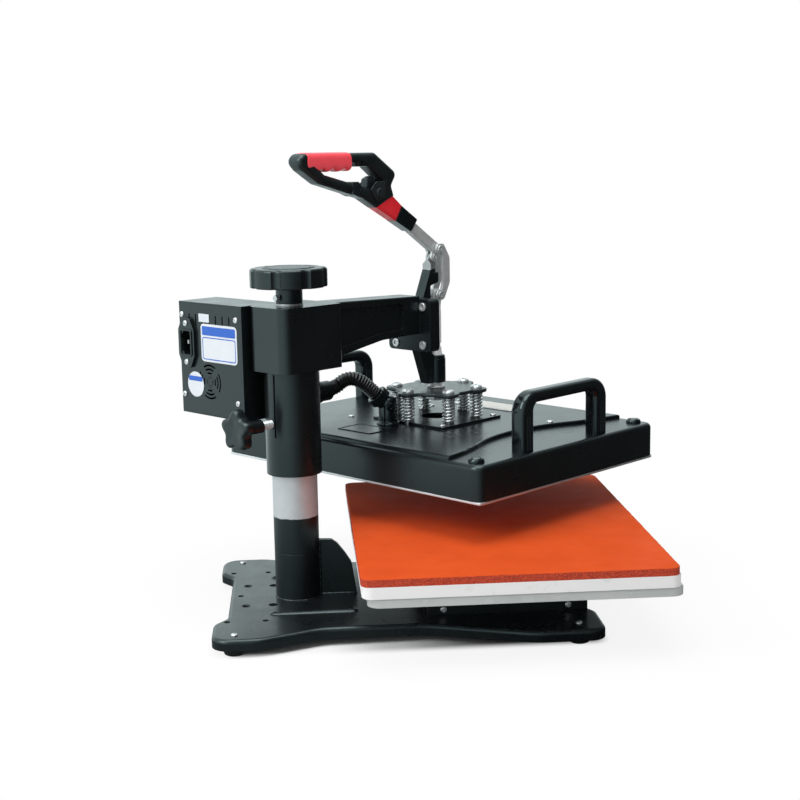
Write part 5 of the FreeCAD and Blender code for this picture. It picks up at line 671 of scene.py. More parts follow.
# Rear panel: screws, inlet, blank labels
PANEL_BACK = -38.0
PANEL_SCREWS = ((124.4, 300.5), (37.9, 299.8), (124.5, 217.5), (38.2, 215.9))
INLET_ACROSS = 115.5
INLET_HEIGHT = 272.0
INLET_FLANGE = 3.0
FAN_MIDDLE = (82.6, 233.8)


def on_rear(across, height, proud=0.0):
    """A place on the rear panel, or proud of it, that faces backwards."""
    return at(across, PANEL_BACK - proud, height) @ REAR


def rear_screws():
    """Six bright screws: four of the panel and two of the inlet."""
    places = [on_rear(*spot) for spot in PANEL_SCREWS]
    places += [on_rear(INLET_ACROSS, INLET_HEIGHT + rise, INLET_FLANGE) for rise in (-20, 20)]
    piece("panel_screw_heads", copies(pan_head(3.0, 1.6), screws(places)), ZINC, "head",
          "panel_screws")


def inlet_details():
    """The raised lip round the inlet's mouth and the three blades inside it."""
    lip = slab(rectangle(-9.8, -14.2, 9.8, 14.2, 3.5), 0, 1.4, 0.6, [rectangle(-7.7, -12.1, 7.7, 12.1, 1.5)])
    piece("inlet_lip", moved(lip, on_rear(INLET_ACROSS, INLET_HEIGHT, INLET_FLANGE - 0.2)), KNOB_PLASTIC,
          "head")
    blade = slab(rectangle(-1.0, -1.9, 1.0, 1.9, 0.4, 3), -12, 4.0, 0.3)
    spots = [on_rear(INLET_ACROSS + across, INLET_HEIGHT + rise, -5)
             for across, rise in ((-2, -7), (2, 0), (-2, 7))]
    piece("inlet_blades", copies(blade, spots), BAR, "head")


def rear_film(name, outline, layer, material, holes=()):
    """A thin printed film on the rear panel. The layer counts the films under it."""
    film = slab(outline, 0.12 * layer, 0.12 * layer + 0.2, 0.04, holes)
    piece(name, moved(film, on_rear(0, 0)), material, "head")


def rear_labels():
    """Blank labels: a framed one with a blue band, a small one over the vents, and a round one."""
    rear_film("main_label", rectangle(37, 254.5, 94.2, 293, 4.5), 0, LABEL_WHITE)
    rear_film("main_label_band", rectangle(39.2, 281.4, 92, 290.6, 1.2), 1, LABEL_BLUE)
    rear_film("main_label_border", rectangle(39.2, 256.6, 92, 279.6, 2.5), 1, LABEL_BLUE,
              [rectangle(40.2, 257.6, 91, 278.6, 1.8)])
    rear_film("vent_label", rectangle(80.2, 294.6, 96.8, 303, 0.6), 0, LABEL_PALE)
    rear_film("round_label", circle((105.8, 229.4), 13.1), 0, LABEL_WHITE)
    rear_film("round_label_band", rectangle(94.6, 232.8, 117, 237.8, 1.4), 1, LABEL_BLUE)


def grille_shade_arcs():
    """Painted shade: four dark arcs laid on the middle of the fan's grille, standing in for the shadow
    between its rings.
    """
    arcs = []
    for number in range(4):
        line = []
        for radius, way in ((3.6, 1), (5.1, -1)):
            for step in range(-8, 9):
                angle = math.pi / 2 * number + math.radians(4) * step * way
                line.append(Vector((FAN_MIDDLE[0] + radius * math.cos(angle),
                                    FAN_MIDDLE[1] + radius * math.sin(angle))))
        arcs.append(slab(line, 0, 0.2, 0.04))
    piece("grille_shade_arcs", moved(joined(*arcs), on_rear(0, 0)), RUBBER, "head")


# Knobs
CLAMP_ACROSS = 2
CLAMP_HEIGHT = 198
STAR_HUB = 7.2


def knob_disc():
    """The inlaid disc on top of the lift knob."""
    disc = turned([(0, -0.5), (26.4, -0.5), (26.4, 0.1), (25.6, 0.7), (23.4, 0.7), (22.8, 0.15),
                   (22.0, 0.15), (21.4, 0.6), (6, 0.75), (0, 0.75)], 96)
    piece("knob_disc", moved(disc, at(0, 0, 351.1)), SATIN_PLASTIC, "lift_turn")


def star_reach(angle, radius):
    """The clamp star's outline: five lobes with hollows between them, round at the hub."""
    lobe = 0.5 + 0.5 * math.cos(5 * (angle - math.pi / 2))
    share = min(max((radius - STAR_HUB) / 5, 0), 1)
    return radius * (1 - share * 0.27 * (1 - lobe ** 1.1))


def clamp_star():
    """The clamp knob with its hub, its star and a gently dished face."""
    star = turned([(0, 0), (5.6, 0), (6.8, 0.8), (7.0, 20.5), (8.4, 23.0), (18.6, 23.0), (20.3, 24.2),
                   (21.0, 26.2), (21.0, 31.0), (20.5, 33.0), (19.2, 34.4), (17.2, 35.0), (13.0, 34.7),
                   (7, 34.1), (0, 34.0)], 120, star_reach)
    piece("clamp_star", moved(star, at(CLAMP_ACROSS, -40, CLAMP_HEIGHT) @ REAR), KNOB_PLASTIC,
          "clamp", "clamp_knob")


def threaded(radius, depth, pitch, start, end):
    """A threaded bar along Z."""
    rings_per_turn = 6
    count = int((end - start) / pitch * rings_per_turn)
    places = [Vector((0, 0, start + (end - start) * step / count)) for step in range(count + 1)]

    def thread(index, angle):
        phase = (index / rings_per_turn - angle / (2 * math.pi)) % 1
        return radius - depth * abs(2 * phase - 1)
    return swept(places, thread, 28)


def clamp_thread():
    """The clamp bolt's thread between the sleeve and the knob."""
    bolt = threaded(4.7, 0.55, 1.5, 23.4, 58)
    piece("clamp_thread", moved(bolt, at(CLAMP_ACROSS, 0, CLAMP_HEIGHT) @ REAR), ZINC,
          "clamp", "clamp_bolt")


# Base
BASE_TOP = 17.7
POST_RADIUS = 22.7
FEET = ((-119.5, -60.5), (119.5, -60.5), (-125.5, 265), (125.5, 265))


def base_fasteners():
    """Screw heads of the feet, the support channel and, from below, the tray."""
    spots = screws(at(*foot, BASE_TOP) for foot in FEET)
    for side, turn, first in ((87, SIDEWAYS, 4), (-87, COUNTER, 6)):
        spots += screws((at(side, out, 23.7) @ turn for out in (140, 262)), first)
    for side in (-66, 66):
        spots += screws((at(side, out, 65.0) @ Matrix.Rotation(math.pi, 4, "X") for out in (150, 255)), 8)
    piece("base_screw_heads", copies(pan_head(3.2, 1.8), spots), ZINC, "base",
          "base_screws", BASE)
    foot = turned([(0, 0), (8.6, 0), (9.8, 0.7), (10.5, 2.4), (10.5, 14.2), (9.6, 15.6), (0, 15.6)], 40)
    piece("foot_pads", copies(foot, [at(*spot, 0) for spot in FEET]), RUBBER, "base",
          "rubber_feet", BASE)


def lumpy(width, unevenness):
    """A weld bead's radius, which swells and shrinks along it."""
    return lambda index, angle: width * (1 + unevenness * math.sin(1.9 * index) * math.cos(0.7 * index))


def weld_beads():
    """Weld along both sides of the gusset and round the post's foot."""
    beads = []
    for side in (-3.2, 3.2):
        upright = [Vector((side, -POST_RADIUS - 0.3, BASE_TOP + 57 * step / 40)) for step in range(41)]
        beads.append(swept(upright, lumpy(1.4, 0.2), 10))
        along = [Vector((side, -POST_RADIUS - 35 * step / 26, BASE_TOP + 0.3)) for step in range(27)]
        beads.append(swept(along, lumpy(1.0, 0.2), 10))
    ring = [Vector((*spot, BASE_TOP)) for spot in circle((0, 0), POST_RADIUS, 96)]
    beads.append(swept([*ring, ring[0]], lumpy(1.0, 0.25), 10))
    piece("weld_beads", joined(*beads), POWDER, "base", home=BASE)


PAD_LOW = 80.6
PAD_HIGH = 87.9
PAD_CORNER = 10.0
PAD_MIDDLE = Vector((0, 201, 0))
PAD_LEVELS = (0.0, 0.06, 0.18, 0.3, 0.42, 0.54, 0.66, 0.78, 0.89, 0.96, 1.0)


def sponge_edge(spot, height, level):
    """How far the sponge's side lies inwards at a place: it wanders, and its pores are pits."""
    cell = Vector((spot.x, spot.y, height * 1.3)) / 1.7
    pore = max(0.0, 0.42 - noise.voronoi(cell)[0][0]) * 1.7
    depth = 0.0 if level in (0.0, 1.0) else pore
    edge = 0.5 if level == 1.0 else 0.0
    return depth + edge + 0.25 + 0.25 * noise.noise(spot / 9)


def sponge_pad():
    """The silicone sponge: a smooth top and cut sides with open pores."""
    corners = rectangle(-190, 56, 190, 346, PAD_CORNER, 8)
    line = evenly([Vector((*spot, 0)) for spot in (*corners, corners[0])], 900)[:-1]
    form = bmesh.new()
    rings = []
    for level in PAD_LEVELS:
        height = PAD_LOW + (PAD_HIGH - PAD_LOW) * level
        ring = []
        for index, spot in enumerate(line):
            ahead = line[(index + 1) % len(line)] - line[index - 1]
            inward = Vector((-ahead.y, ahead.x, 0)).normalized()
            shifted = spot + inward * sponge_edge(spot, height, level)
            ring.append(form.verts.new((shifted.x, shifted.y, height)))
        rings.append(ring)
    flat = []
    for vertex in rings[-1]:
        toward = Vector((vertex.co.x, vertex.co.y, 0)) - PAD_MIDDLE
        flat.append(form.verts.new(PAD_MIDDLE + toward * 0.985 + Vector((0, 0, PAD_HIGH))))
    mesh = moved(solid(form, [*rings, flat]), PLAN)
    pad = piece("sponge_pad", mesh, SPONGE_TOP, "base", "silicone_pad", BASE, sharp=60)
    pad.data.materials.append(SPONGE_SIDE)
    for face in pad.data.polygons:
        face.material_index = 0 if face.normal.z > 0.7 else 1


# Arm and toggle. A corner in the side view is out, height and, where it is rounded, a radius
ARM_END = 170
PIN_OUT = 211.0
PIN_HEIGHT = 357.0
EYE_HEIGHT = 307.0
LINK_EYE = 5.7
PLUNGER = 6.5
BAR_END = Vector((154.1, 395.0))
BAR_HALF = 5.8
HEEL = Vector((206.5, 348.5))
HEEL_RADIUS = 5.2


def casting_fasteners():
    """Four socket screws on the arm's end plate and the fulcrum pin's heads."""
    spots = screws(at(across, ARM_END, height) @ REAR for height in (257, 298) for across in (-20, 20))
    piece("casting_screw_heads", copies(socket_head(4.5, 1.6), spots), ZINC, "head",
          "casting_screws")
    heads = copies(socket_head(3.2, 1.4), [at(4.6, *HEEL) @ SIDEWAYS, at(-4.6, *HEEL) @ COUNTER])
    rod = moved(bar(2.5, -4.6, 4.6), at(0, *HEEL) @ SIDEWAYS)
    piece("fulcrum_heads", joined(heads, rod), ZINC, "head", "fulcrum_pin")


def toggle_plates():
    """Two C-shaped links with round eyes, and the heads of their screws."""
    back = PIN_OUT - LINK_EYE
    outline = rounded([
        (back, PIN_HEIGHT - LINK_EYE, LINK_EYE),
        (back, PIN_HEIGHT + LINK_EYE, LINK_EYE),
        (PIN_OUT + 6.5, PIN_HEIGHT + LINK_EYE, 6),
        (PIN_OUT + 16, PIN_HEIGHT - 10, 9),
        (PIN_OUT + 16, EYE_HEIGHT + 13, 7),
        (PIN_OUT + 6.5, EYE_HEIGHT - LINK_EYE, 6),
        (back, EYE_HEIGHT - LINK_EYE, LINK_EYE),
        (back, EYE_HEIGHT + LINK_EYE, LINK_EYE),
        (PIN_OUT + 2.5, EYE_HEIGHT + LINK_EYE, 1),
        (PIN_OUT + 4.8, EYE_HEIGHT + 12, 3),
        (PIN_OUT + 4.5, PIN_HEIGHT - 9, 3),
        (PIN_OUT + 2.5, PIN_HEIGHT - LINK_EYE, 1),
    ])
    plates = [side_slab(outline, *span, 0.7) for span in both_sides(4.8, 8.3)]
    piece("link_plates", joined(*plates), BAR, "links", "toggle_links")
    spots = []
    for side, turn, first in ((8.3, SIDEWAYS, 0), (-8.3, COUNTER, 2)):
        spots += screws((at(side, PIN_OUT, height) @ turn for height in (PIN_HEIGHT, EYE_HEIGHT)), first)
    stubs = []
    for height, inner in ((PIN_HEIGHT, 2.0), (EYE_HEIGHT, 4.7)):
        for span in both_sides(inner, 8.4):
            stubs.append(moved(bar(2.8, *span), at(0, PIN_OUT, height) @ SIDEWAYS))
    piece("link_screw_heads", joined(copies(socket_head(4.0, 2.2), spots), *stubs), ZINC,
          "links", "link_screws")


def guide_lip():
    """The guide bush: black where it stands over its boss, with a bright flare round the rod, partly
    brightened by painted light.
    """
    lip = turned([(PLUNGER + 0.5, 211), (8.5, 211), (8.5, 237), (8.6, 237.1), (9.8, 237.1), (10.2, 237.7),
                  (10.2, 239.6), (9.6, 240.6), (8.4, 241), (PLUNGER + 0.5, 241), (PLUNGER + 0.5, 211)], 56)
    flare = turned([(PLUNGER + 0.1, 240), (7.7, 240), (7.6, 241.4), (7.0, 243.6), (PLUNGER + 0.3, 245),
                    (PLUNGER + 0.1, 245), (PLUNGER + 0.1, 240)], 56)
    middle = at(0, PIN_OUT, 0)
    piece("guide_lip", moved(lip, middle), KNOB_PLASTIC, "head", "guide_bush")
    piece("guide_flare", moved(flare, middle), STEEL_WITH_PAINTED_LIGHT, "head")


def plunger():
    """The plunger: a rod with a groove, a collar on the plate, and a flat eye between the links."""
    rod = turned([(0, 190.6), (6, 190.6), (PLUNGER, 191.2), (PLUNGER, 204.7), (9.4, 204.7), (10, 205.2),
                  (10, 206.5), (9.5, 207), (PLUNGER, 207.1), (PLUNGER, 249.6), (5.3, 250.3), (5.3, 253.7),
                  (PLUNGER, 254.4), (PLUNGER, 288), (6.2, 291.5), (5.2, 294.5), (4.6, 296), (0, 296)], 48)
    rod.transform(at(0, PIN_OUT, 0))
    eye = rounded([(PIN_OUT - 6.5, EYE_HEIGHT + 6.5, 6.4), (PIN_OUT + 6.5, EYE_HEIGHT + 6.5, 6.4),
                   (PIN_OUT + 6.5, EYE_HEIGHT - 3), (PIN_OUT + 4.6, EYE_HEIGHT - 12),
                   (PIN_OUT + 4.6, 288), (PIN_OUT - 4.6, 288), (PIN_OUT - 4.6, EYE_HEIGHT - 12),
                   (PIN_OUT - 6.5, EYE_HEIGHT - 3)])
    bore = circle((PIN_OUT, EYE_HEIGHT), 3.0, 32)
    # The plunger's near-white steel paints light on it.
    piece("plunger_bar", joined(rod, side_slab(eye, -4.5, 4.5, 0.6, [bore])), STEEL_WITH_PAINTED_LIGHT,
          "plunger", "plunger_rod")


def square_to(direction):
    """The direction a quarter turn on from another."""
    return Vector((-direction.y, direction.x))


def fork_bar():
    """The lever's flat bar with its eye and its heel, slotted where it straddles the tower."""
    pin = Vector((PIN_OUT, PIN_HEIGHT))
    along = (BAR_END - Vector((PIN_OUT - 2, PIN_HEIGHT + 0.5))).normalized()
    upper = -square_to(along)
    down = (HEEL - pin).normalized()
    right = square_to(down)
    lower_start = pin - upper * BAR_HALF
    heel_left = HEEL - right * HEEL_RADIUS
    meet = geometry.intersect_line_line_2d(lower_start, lower_start + along * 30,
                                           heel_left, heel_left - down * 30)
    corners = [
        (*(BAR_END + upper * BAR_HALF), 1),
        (*(pin + upper * LINK_EYE - along * LINK_EYE), 5.4),
        (*(pin + right * LINK_EYE + down * 3), 3),
        (*(HEEL + right * HEEL_RADIUS + down * HEEL_RADIUS), 5.1),
        (*(heel_left + down * HEEL_RADIUS), 5.1),
        (*meet, 3.5),
        (*(BAR_END - upper * BAR_HALF), 1),
    ]
    slot = side_slab(rectangle(196, 338, 228, 354.5, 1, 2), -2.0, 2.0, 0.01)
    reach = pin + along * 6
    far = pin - along * 9
    wide = upper * 8
    throat = side_slab([reach + wide, far + wide, far - wide, reach - wide], -2.0, 2.0, 0.01)
    piece("lever_bar", carved(side_slab(rounded(corners), -4.5, 4.5, 0.7), slot, throat), BAR,
          "lever", "lever_fork")


# Lever: socket, sleeve, grip and trigger, drawn like the corners above
SOCKET = ((178.4, 390, 1.6), (154.6, 405.5), (145.2, 390.2), (168.6, 377.6, 1.6))
SLEEVE = ((154.8, 405.6), (138.5, 418.6), (113.1, 407.2), (145.4, 390.2))
GRIP = ((7.3, 453.5, 7), (16, 461, 9), (115, 461, 6.5), (147, 439.5, 6.5), (138.5, 426.5, 4), (142.5, 415.9),
        (117.5, 404.6), (99, 414.6, 12), (38.6, 430.6, 14), (16, 444.5, 12))
GRIP_WINDOW = ((31, 451, 2), (88, 451, 1.5), (91, 447, 2), (106, 447, 3), (128, 430.5, 2), (110, 424.5, 3),
               (96, 427.5, 3), (45, 440, 3))
GRIP_BLOCK = ((80.3, 432, 1.6), (90.2, 432, 2), (94.3, 426.5, 2), (89.8, 416.7, 1.6), (81, 420, 1.6))
TRIGGER = ((105, 421.6, 2), (121, 419, 2), (121, 431, 2), (114, 437.5, 2), (107, 434.5, 2))
TRIGGER_CHEEK = ((105.5, 424, 2), (113, 431.5, 3), (124, 431.5, 3), (126.5, 426, 3), (126, 416, 3),
                 (114, 411, 3))
TRIGGER_PIN = (118, 420)


def lever_pieces():
    """The socket, the red sleeve, and the grip with its window."""
    piece("lever_cup", side_slab(rounded(SOCKET), -7.5, 7.5, 1.4), HANDLE, "lever",
          "lever_socket")
    piece("grip_collar", side_slab(rounded(SLEEVE), -8, 8, 2.4), RED, "lever",
          "lever_sleeve")
    body = side_slab(rounded(GRIP, 8), -10, 10, 5, [rounded(GRIP_WINDOW, 8)])
    slot = side_slab(rectangle(104, 418, 122, 436, 0.5, 2), -5.3, 5.3, 0.01)
    block = side_slab(rounded(GRIP_BLOCK), -10.5, 10.5, 1.5)
    piece("grip_body", joined(carved(body, slot), block), GRIP_GREY, "lever",
          "grip_frame")


def trigger():
    """The trigger with a cheek, a boss and a pin on each side of the grip."""
    parts = [side_slab(rounded(TRIGGER), -5, 5, 1.2)]
    for (low, high), turn in zip(both_sides(10.15, 11.5), (SIDEWAYS, COUNTER)):
        parts.append(side_slab(rounded(TRIGGER_CHEEK), low, high, 0.5))
        boss = turned([(0, 10.1), (5, 10.1), (5, 12.1), (4.2, 12.8), (0, 12.8)], 32)
        for form in (boss, bar(1.6, 4.5, 10.4)):
            parts.append(moved(form, at(0, *TRIGGER_PIN) @ turn))
    piece("trigger_block", joined(*parts), SATIN_PLASTIC, "trigger", "grip_trigger")


COVER_BACK = 20.5
COVER_FRONT = 80.5
COVER_MIDDLE = 453.0
COVER_HALF = 10.7
COVER_RISE = 8.8
COVER_DROP = 10.6
COVER_SQUARE = 3.2
HOLLOW_DEPTH = 2.4
HOLLOWS = 4


def squared(part):
    """A circle's sine or cosine, changed so that the circle becomes a rounded square."""
    return math.copysign(abs(part) ** (2 / COVER_SQUARE), part)


def grip_shell():
    """The red cover of the grip: a rounded sleeve with four finger hollows along its lower edge."""
    form = bmesh.new()
    rings = []
    count = 65
    for index in range(count + 1):
        share = index / count
        out = COVER_BACK + (COVER_FRONT - COVER_BACK) * share
        inside = min(out - COVER_BACK, COVER_FRONT - out)
        swell = 0.93 + 0.07 * math.sqrt(max(0, 1 - (1 - min(inside / 4, 1)) ** 2))
        hollow = 0.5 - 0.5 * math.cos(2 * math.pi * HOLLOWS * share)
        ring = []
        for angle in wheel(56):
            rise = math.sin(angle)
            reach = COVER_RISE if rise > 0 else COVER_DROP - HOLLOW_DEPTH * hollow
            height = COVER_MIDDLE + squared(rise) * reach * swell
            ring.append(form.verts.new((out, height, squared(math.cos(angle)) * COVER_HALF * swell)))
        rings.append(ring)
    # The cover's lighter red is painted light.
    piece("grip_shell", moved(solid(form, rings), SIDE), COVER_RED_PAINTED_LIGHT, "lever", "grip_cover")


# Pressure plate and springs
SPRING_CIRCLE = 45.0
PLATE_LOW = 200.6
PLATE_HIGH = 204.6
LOBE = 11.8
PLATE_RADIUS = 44.9
SPRING_RADIUS = 6.25
SPRING_WIRE = 1.1
SPRING_TURNS = 8
SPRING_SPOTS = [(SPRING_CIRCLE * math.sin(angle), PIN_OUT + SPRING_CIRCLE * math.cos(angle))
                for angle in wheel(6)]


def lobed_plate():
    """The pressure plate: a disc with six lobes and rolled edges."""
    reach = []
    count = 360
    for step in range(count):
        angle = math.radians((step + 30) % 60 - 30)
        side = SPRING_CIRCLE * math.sin(angle)
        out = SPRING_CIRCLE * math.cos(angle) + math.sqrt(LOBE ** 2 - side ** 2) if abs(side) < LOBE else 0
        reach.append(max(out, PLATE_RADIUS))
    line = []
    for step, angle in enumerate(wheel(count)):
        near = [reach[(step + shift) % count] for shift in range(-4, 5)]
        radius = sum(near) / len(near)
        line.append(Vector((radius * math.sin(angle), PIN_OUT + radius * math.cos(angle))))
    hole = circle((0, PIN_OUT), 6.6, 32)
    plate = moved(slab(line, PLATE_LOW, PLATE_HIGH, 1.3, [hole]), PLAN)
    piece("pressure_disc", plate, OXIDE, "plunger", "pressure_plate")


def springs():
    """Six coil springs with closed ends, between the platen and the pressure plate."""
    low = 172.6 + SPRING_WIRE
    high = 200.5 - SPRING_WIRE
    steps = 22
    places = []
    for step in range(SPRING_TURNS * steps + 1):
        done = step / steps
        closed = min(done, 1) + max(done - SPRING_TURNS + 1, 0)
        climb = (high - low - 4 * SPRING_WIRE) / (SPRING_TURNS - 2)
        height = low + closed * 2 * SPRING_WIRE + (done - closed) * climb
        angle = 2 * math.pi * done
        places.append(Vector((SPRING_RADIUS * math.cos(angle), SPRING_RADIUS * math.sin(angle), height)))
    coil = swept(places, lambda index, angle: SPRING_WIRE, 10)
    spots = [at(*spot, 0) @ Matrix.Rotation(1.1 * number, 4, "Z")
             for number, spot in enumerate(SPRING_SPOTS)]
    start, end = (POST + Vector((0, 0, height * MM)) for height in (173, 200))
    piece("coil_springs", copies(coil, spots), WIRE, ("platen", "plunger", start, end),
          "platen_springs", sharp=60)


def shoulder_bolts():
    """The screws through the springs, with wide pan heads over the pressure plate."""
    spots = screws(at(*spot, 204.65) for spot in SPRING_SPOTS)
    lower = [at(*spot, 0) for spot in SPRING_SPOTS]
    shanks = copies(bar(4.0, 160.5, 204.7), lower)
    nuts = copies(slab(circle((0, 0), 6.5, 6), 160, 164, 0.4), lower)
    piece("shoulder_bolts", joined(copies(pan_head(6.5, 3.8, 0.5), spots), shanks, nuts), ZINC,
          "platen", "shoulder_screws")


# Platen
DECK = 166.0
FIELD = 170.0
HANDLE_BACK = 139.0
HANDLE_FRONT = 279.0
HANDLE_LEG = 19.0
HANDLE_TOP = 226.0
HANDLE_UNDERSIDE = 213.5
HEAT_LOW = 128.1
HEAT_RIM = 130.5
HEAT_HIGH = 136.5
FRONT_PLATE = (-40, 290, 50, 322)


def platen_fasteners():
    """Black corner caps, and the bright screws of the deck."""
    cap = turned([(0, 0), (8.0, 0), (8.0, 1.4), (7.4, 3.0), (6.4, 3.9), (5.6, 3.7), (5.0, 3.0), (4.4, 3.0),
                  (3.8, 3.9), (0, 4.2)], 40)
    spots = [at(side * 172, PIN_OUT + way * 130, DECK) for side in (-1, 1) for way in (-1, 1)]
    piece("corner_caps", copies(cap, spots), HANDLE, "platen", "platen_screws")
    spots = screws(at(across, out, FIELD + 2.5) for out in (170, 253) for across in (-46.5, 46.5))
    spots += screws((at(*spot, FIELD) for spot in ((80, 157), (-113, 270))), 5)
    piece("deck_screw_heads", copies(pan_head(3.4, 1.8), spots), ZINC, "platen",
          "platen_screws")


def handles():
    """Two round-edged moulded arches with three flutes down the sides of each leg."""
    low = DECK - 4
    inner_back = HANDLE_BACK + HANDLE_LEG
    inner_front = HANDLE_FRONT - HANDLE_LEG
    arch = rounded([
        (HANDLE_BACK, low),
        (HANDLE_BACK, HANDLE_TOP, 22),
        (HANDLE_FRONT, HANDLE_TOP, 22),
        (HANDLE_FRONT, low),
        (inner_front, low),
        (inner_front, HANDLE_UNDERSIDE, 8),
        (inner_back, HANDLE_UNDERSIDE, 8),
        (inner_back, low),
    ], 12)
    groove = [(0, 168), (1.1, 169.2), (1.2, 172), (1.2, 200), (0.9, 204), (0, 206)]
    for name, side in (("left", -174), ("right", 174)):
        flutes = []
        for leg in (HANDLE_BACK + HANDLE_LEG / 2, HANDLE_FRONT - HANDLE_LEG / 2):
            for offset in (-3.6, 0, 3.6):
                for face in (-9.6, 9.6):
                    flutes.append(moved(turned(groove, 10), at(side + face, leg + offset, 0)))
        body = side_slab(arch, -side - 9, -side + 9, 5.6)
        piece("handle_" + name, carved(body, *flutes), HANDLE, "platen", "platen_handles")


def heat_face():
    """The heat plate with its foil edge. Its corners are round, and the nearest one is a little sharper."""
    corners = [(-190, 66, 4), (190, 66, 9), (190, 356, 9), (-190, 356, 9)]
    rim = slab(rounded(corners, 8), HEAT_LOW, HEAT_RIM, 0.5)
    block = slab(rectangle(-185, 71, 185, 351, 6), HEAT_RIM - 0.4, HEAT_HIGH, 0.3)
    piece("heat_face", moved(joined(rim, block), PLAN), ALUMINIUM, "platen", "heat_plate")


def platen_plates():
    """A framed plate near the platen's front, and a small embossed one near the elbow, both blank."""
    frame_plate = slab(rectangle(*FRONT_PLATE, 2.5), FIELD, FIELD + 0.9, 0.3)
    piece("front_plate", moved(frame_plate, PLAN), BAR, "platen")
    low_x, low_y, high_x, high_y = FRONT_PLATE
    face = slab(rectangle(low_x + 2, low_y + 2, high_x - 2, high_y - 2, 1.5), FIELD + 0.8, FIELD + 1.1, 0.05)
    piece("front_plate_face", moved(face, PLAN), PLATE_GREY, "platen")
    back_plate = slab(rectangle(-9, 98, 41, 133, 2.5), FIELD - 0.2, FIELD + 0.9, 0.35,
                      [rectangle(-6.5, 100.5, 38.5, 130.5, 1.5)])
    inner = slab(rectangle(-5.6, 101.4, 37.6, 129.6, 1.2), FIELD - 0.2, FIELD + 0.5, 0.2)
    piece("embossed_plate", moved(joined(back_plate, inner), PLAN), COVER, "platen")


# Elbow and hose. The route is across, -out and height
ELBOW = Vector((15, -150, 190))
PORT = (Vector((22, -138, 205)) - ELBOW).normalized()
HOSE_ROUTE = (Vector((50, -78, 211)), Vector((50, -103, 211)), Vector((41, -114, 223.5)),
              ELBOW + PORT * 40, ELBOW + PORT * 12.5)
HOSE_RIBS = 29
FIRST_RIBS = 14
RIB_STEPS = 8
HOSE_BORE = 5.8
NUT_RIBS = 18


def nut_reach(angle, radius):
    """The collar's outline: ribbed outside, round inside."""
    return radius * (1 + 0.03 * math.cos(NUT_RIBS * angle)) if radius > 9 else radius


def elbow():
    """The moulded elbow: a domed stem with a small boss, a foot flange and a fat ribbed collar."""
    stem = turned([(0, 0), (12.5, 0), (12.5, 2.0), (11.9, 2.9), (10.9, 3.3), (10.3, 5.2), (10.2, 23.0),
                   (9.8, 26.5), (8.4, 29.4), (5.4, 31.3), (0, 32.0)], 48)
    toward = PORT.to_track_quat("Z", "Y").to_matrix().to_4x4()
    neck = turned([(0, 0), (8.6, 0), (8.6, 13), (0, 13)], 40)
    nut = turned([(8.1, 0), (10.6, 0), (11.5, 0.9), (11.5, 9.1), (10.6, 10), (8.1, 10), (8.1, 0)],
                 NUT_RIBS * 6, nut_reach)
    side_boss = turned([(0, 0), (4.6, 0), (4.6, 10.6), (3.9, 11.6), (2.2, 11.8), (1.8, 11.0), (0, 11.0)], 32)
    parts = joined(
        moved(stem, at(15, 150, FIELD)),
        moved(neck, Matrix.Translation(ELBOW) @ toward),
        moved(nut, Matrix.Translation(ELBOW + PORT * 9.5) @ toward),
        moved(side_boss, at(15, 150, 191) @ COUNTER @ Matrix.Rotation(-0.5, 4, "X")),
    )
    piece("elbow_body", parts, HANDLE, "platen", "hose_elbow")


def rib(index, angle):
    """The hose's radius, which swells at each rib."""
    return 7.45 + 0.55 * math.sin(2 * math.pi * index / RIB_STEPS)


def hose():
    """The ribbed hose, made in two lengths that meet part way along its route."""
    places = evenly(smooth_route(HOSE_ROUTE), HOSE_RIBS * RIB_STEPS)
    split = FIRST_RIBS * RIB_STEPS
    start, middle, end = (HEAD @ (places[index] * MM) for index in (0, split, -1))
    lengths = (
        ("hose_first", places[:split + 1], ("head", "plunger", start, middle)),
        ("hose_second", places[split:], ("plunger", "platen", middle, end)),
    )
    for name, part, bend in lengths:
        piece(name, pipe(part, rib, HOSE_BORE), HOSE, bend, "heater_hose", sharp=80)


# Sloped front of the control box. A place on it is across, up the slope and out of it
FACE_TOP = Vector((79, -11, 314))
FACE_RUN = 49.0
FACE_DROP = 115.5
FACE = Matrix.Translation(FACE_TOP) @ Matrix.Rotation(math.atan2(FACE_DROP, FACE_RUN), 4, "X")


def front_panel():
    """The grey overlay round the display, the buttons and the switch, and a bezel for each."""
    windows = [rectangle(-27, -44, 27, -16, 1.5), rectangle(15, -95, 37, -81, 1)]
    bezels = [
        slab(rectangle(-29.5, -46.5, 29.5, -13.5, 3), 0, 1.3, 0.5,
             [rectangle(-25.6, -42.6, 25.6, -17.4, 1)]),
        slab(rectangle(13, -97, 39, -79, 2), 0, 1.4, 0.5, [rectangle(15.3, -94.7, 36.7, -81.3, 1)]),
    ]
    for across in (-9, 8, 25):
        windows.append(circle((across, -62), 5.4, 32))
        ring = turned([(4.9, 0), (6.6, 0), (6.4, 0.8), (5.6, 1.1), (4.9, 0.8), (4.9, 0)], 40)
        bezels.append(moved(ring, Matrix.Translation((across, -62, 0))))
    overlay = slab(rectangle(-44, -106, 44, -8, 4), 0, 0.35, 0.1, windows)
    piece("face_overlay", moved(overlay, FACE), OVERLAY, "head")
    piece("face_bezels", moved(joined(*bezels), FACE), HANDLE, "head")


rear_screws()
inlet_details()
rear_labels()
grille_shade_arcs()
knob_disc()
clamp_star()
clamp_thread()
base_fasteners()
weld_beads()
sponge_pad()
casting_fasteners()
toggle_plates()
guide_lip()
plunger()
fork_bar()
lever_pieces()
trigger()
grip_shell()
lobed_plate()
springs()
shoulder_bolts()
platen_fasteners()
handles()
platen_plates()
heat_face()
elbow()
hose()
front_panel()


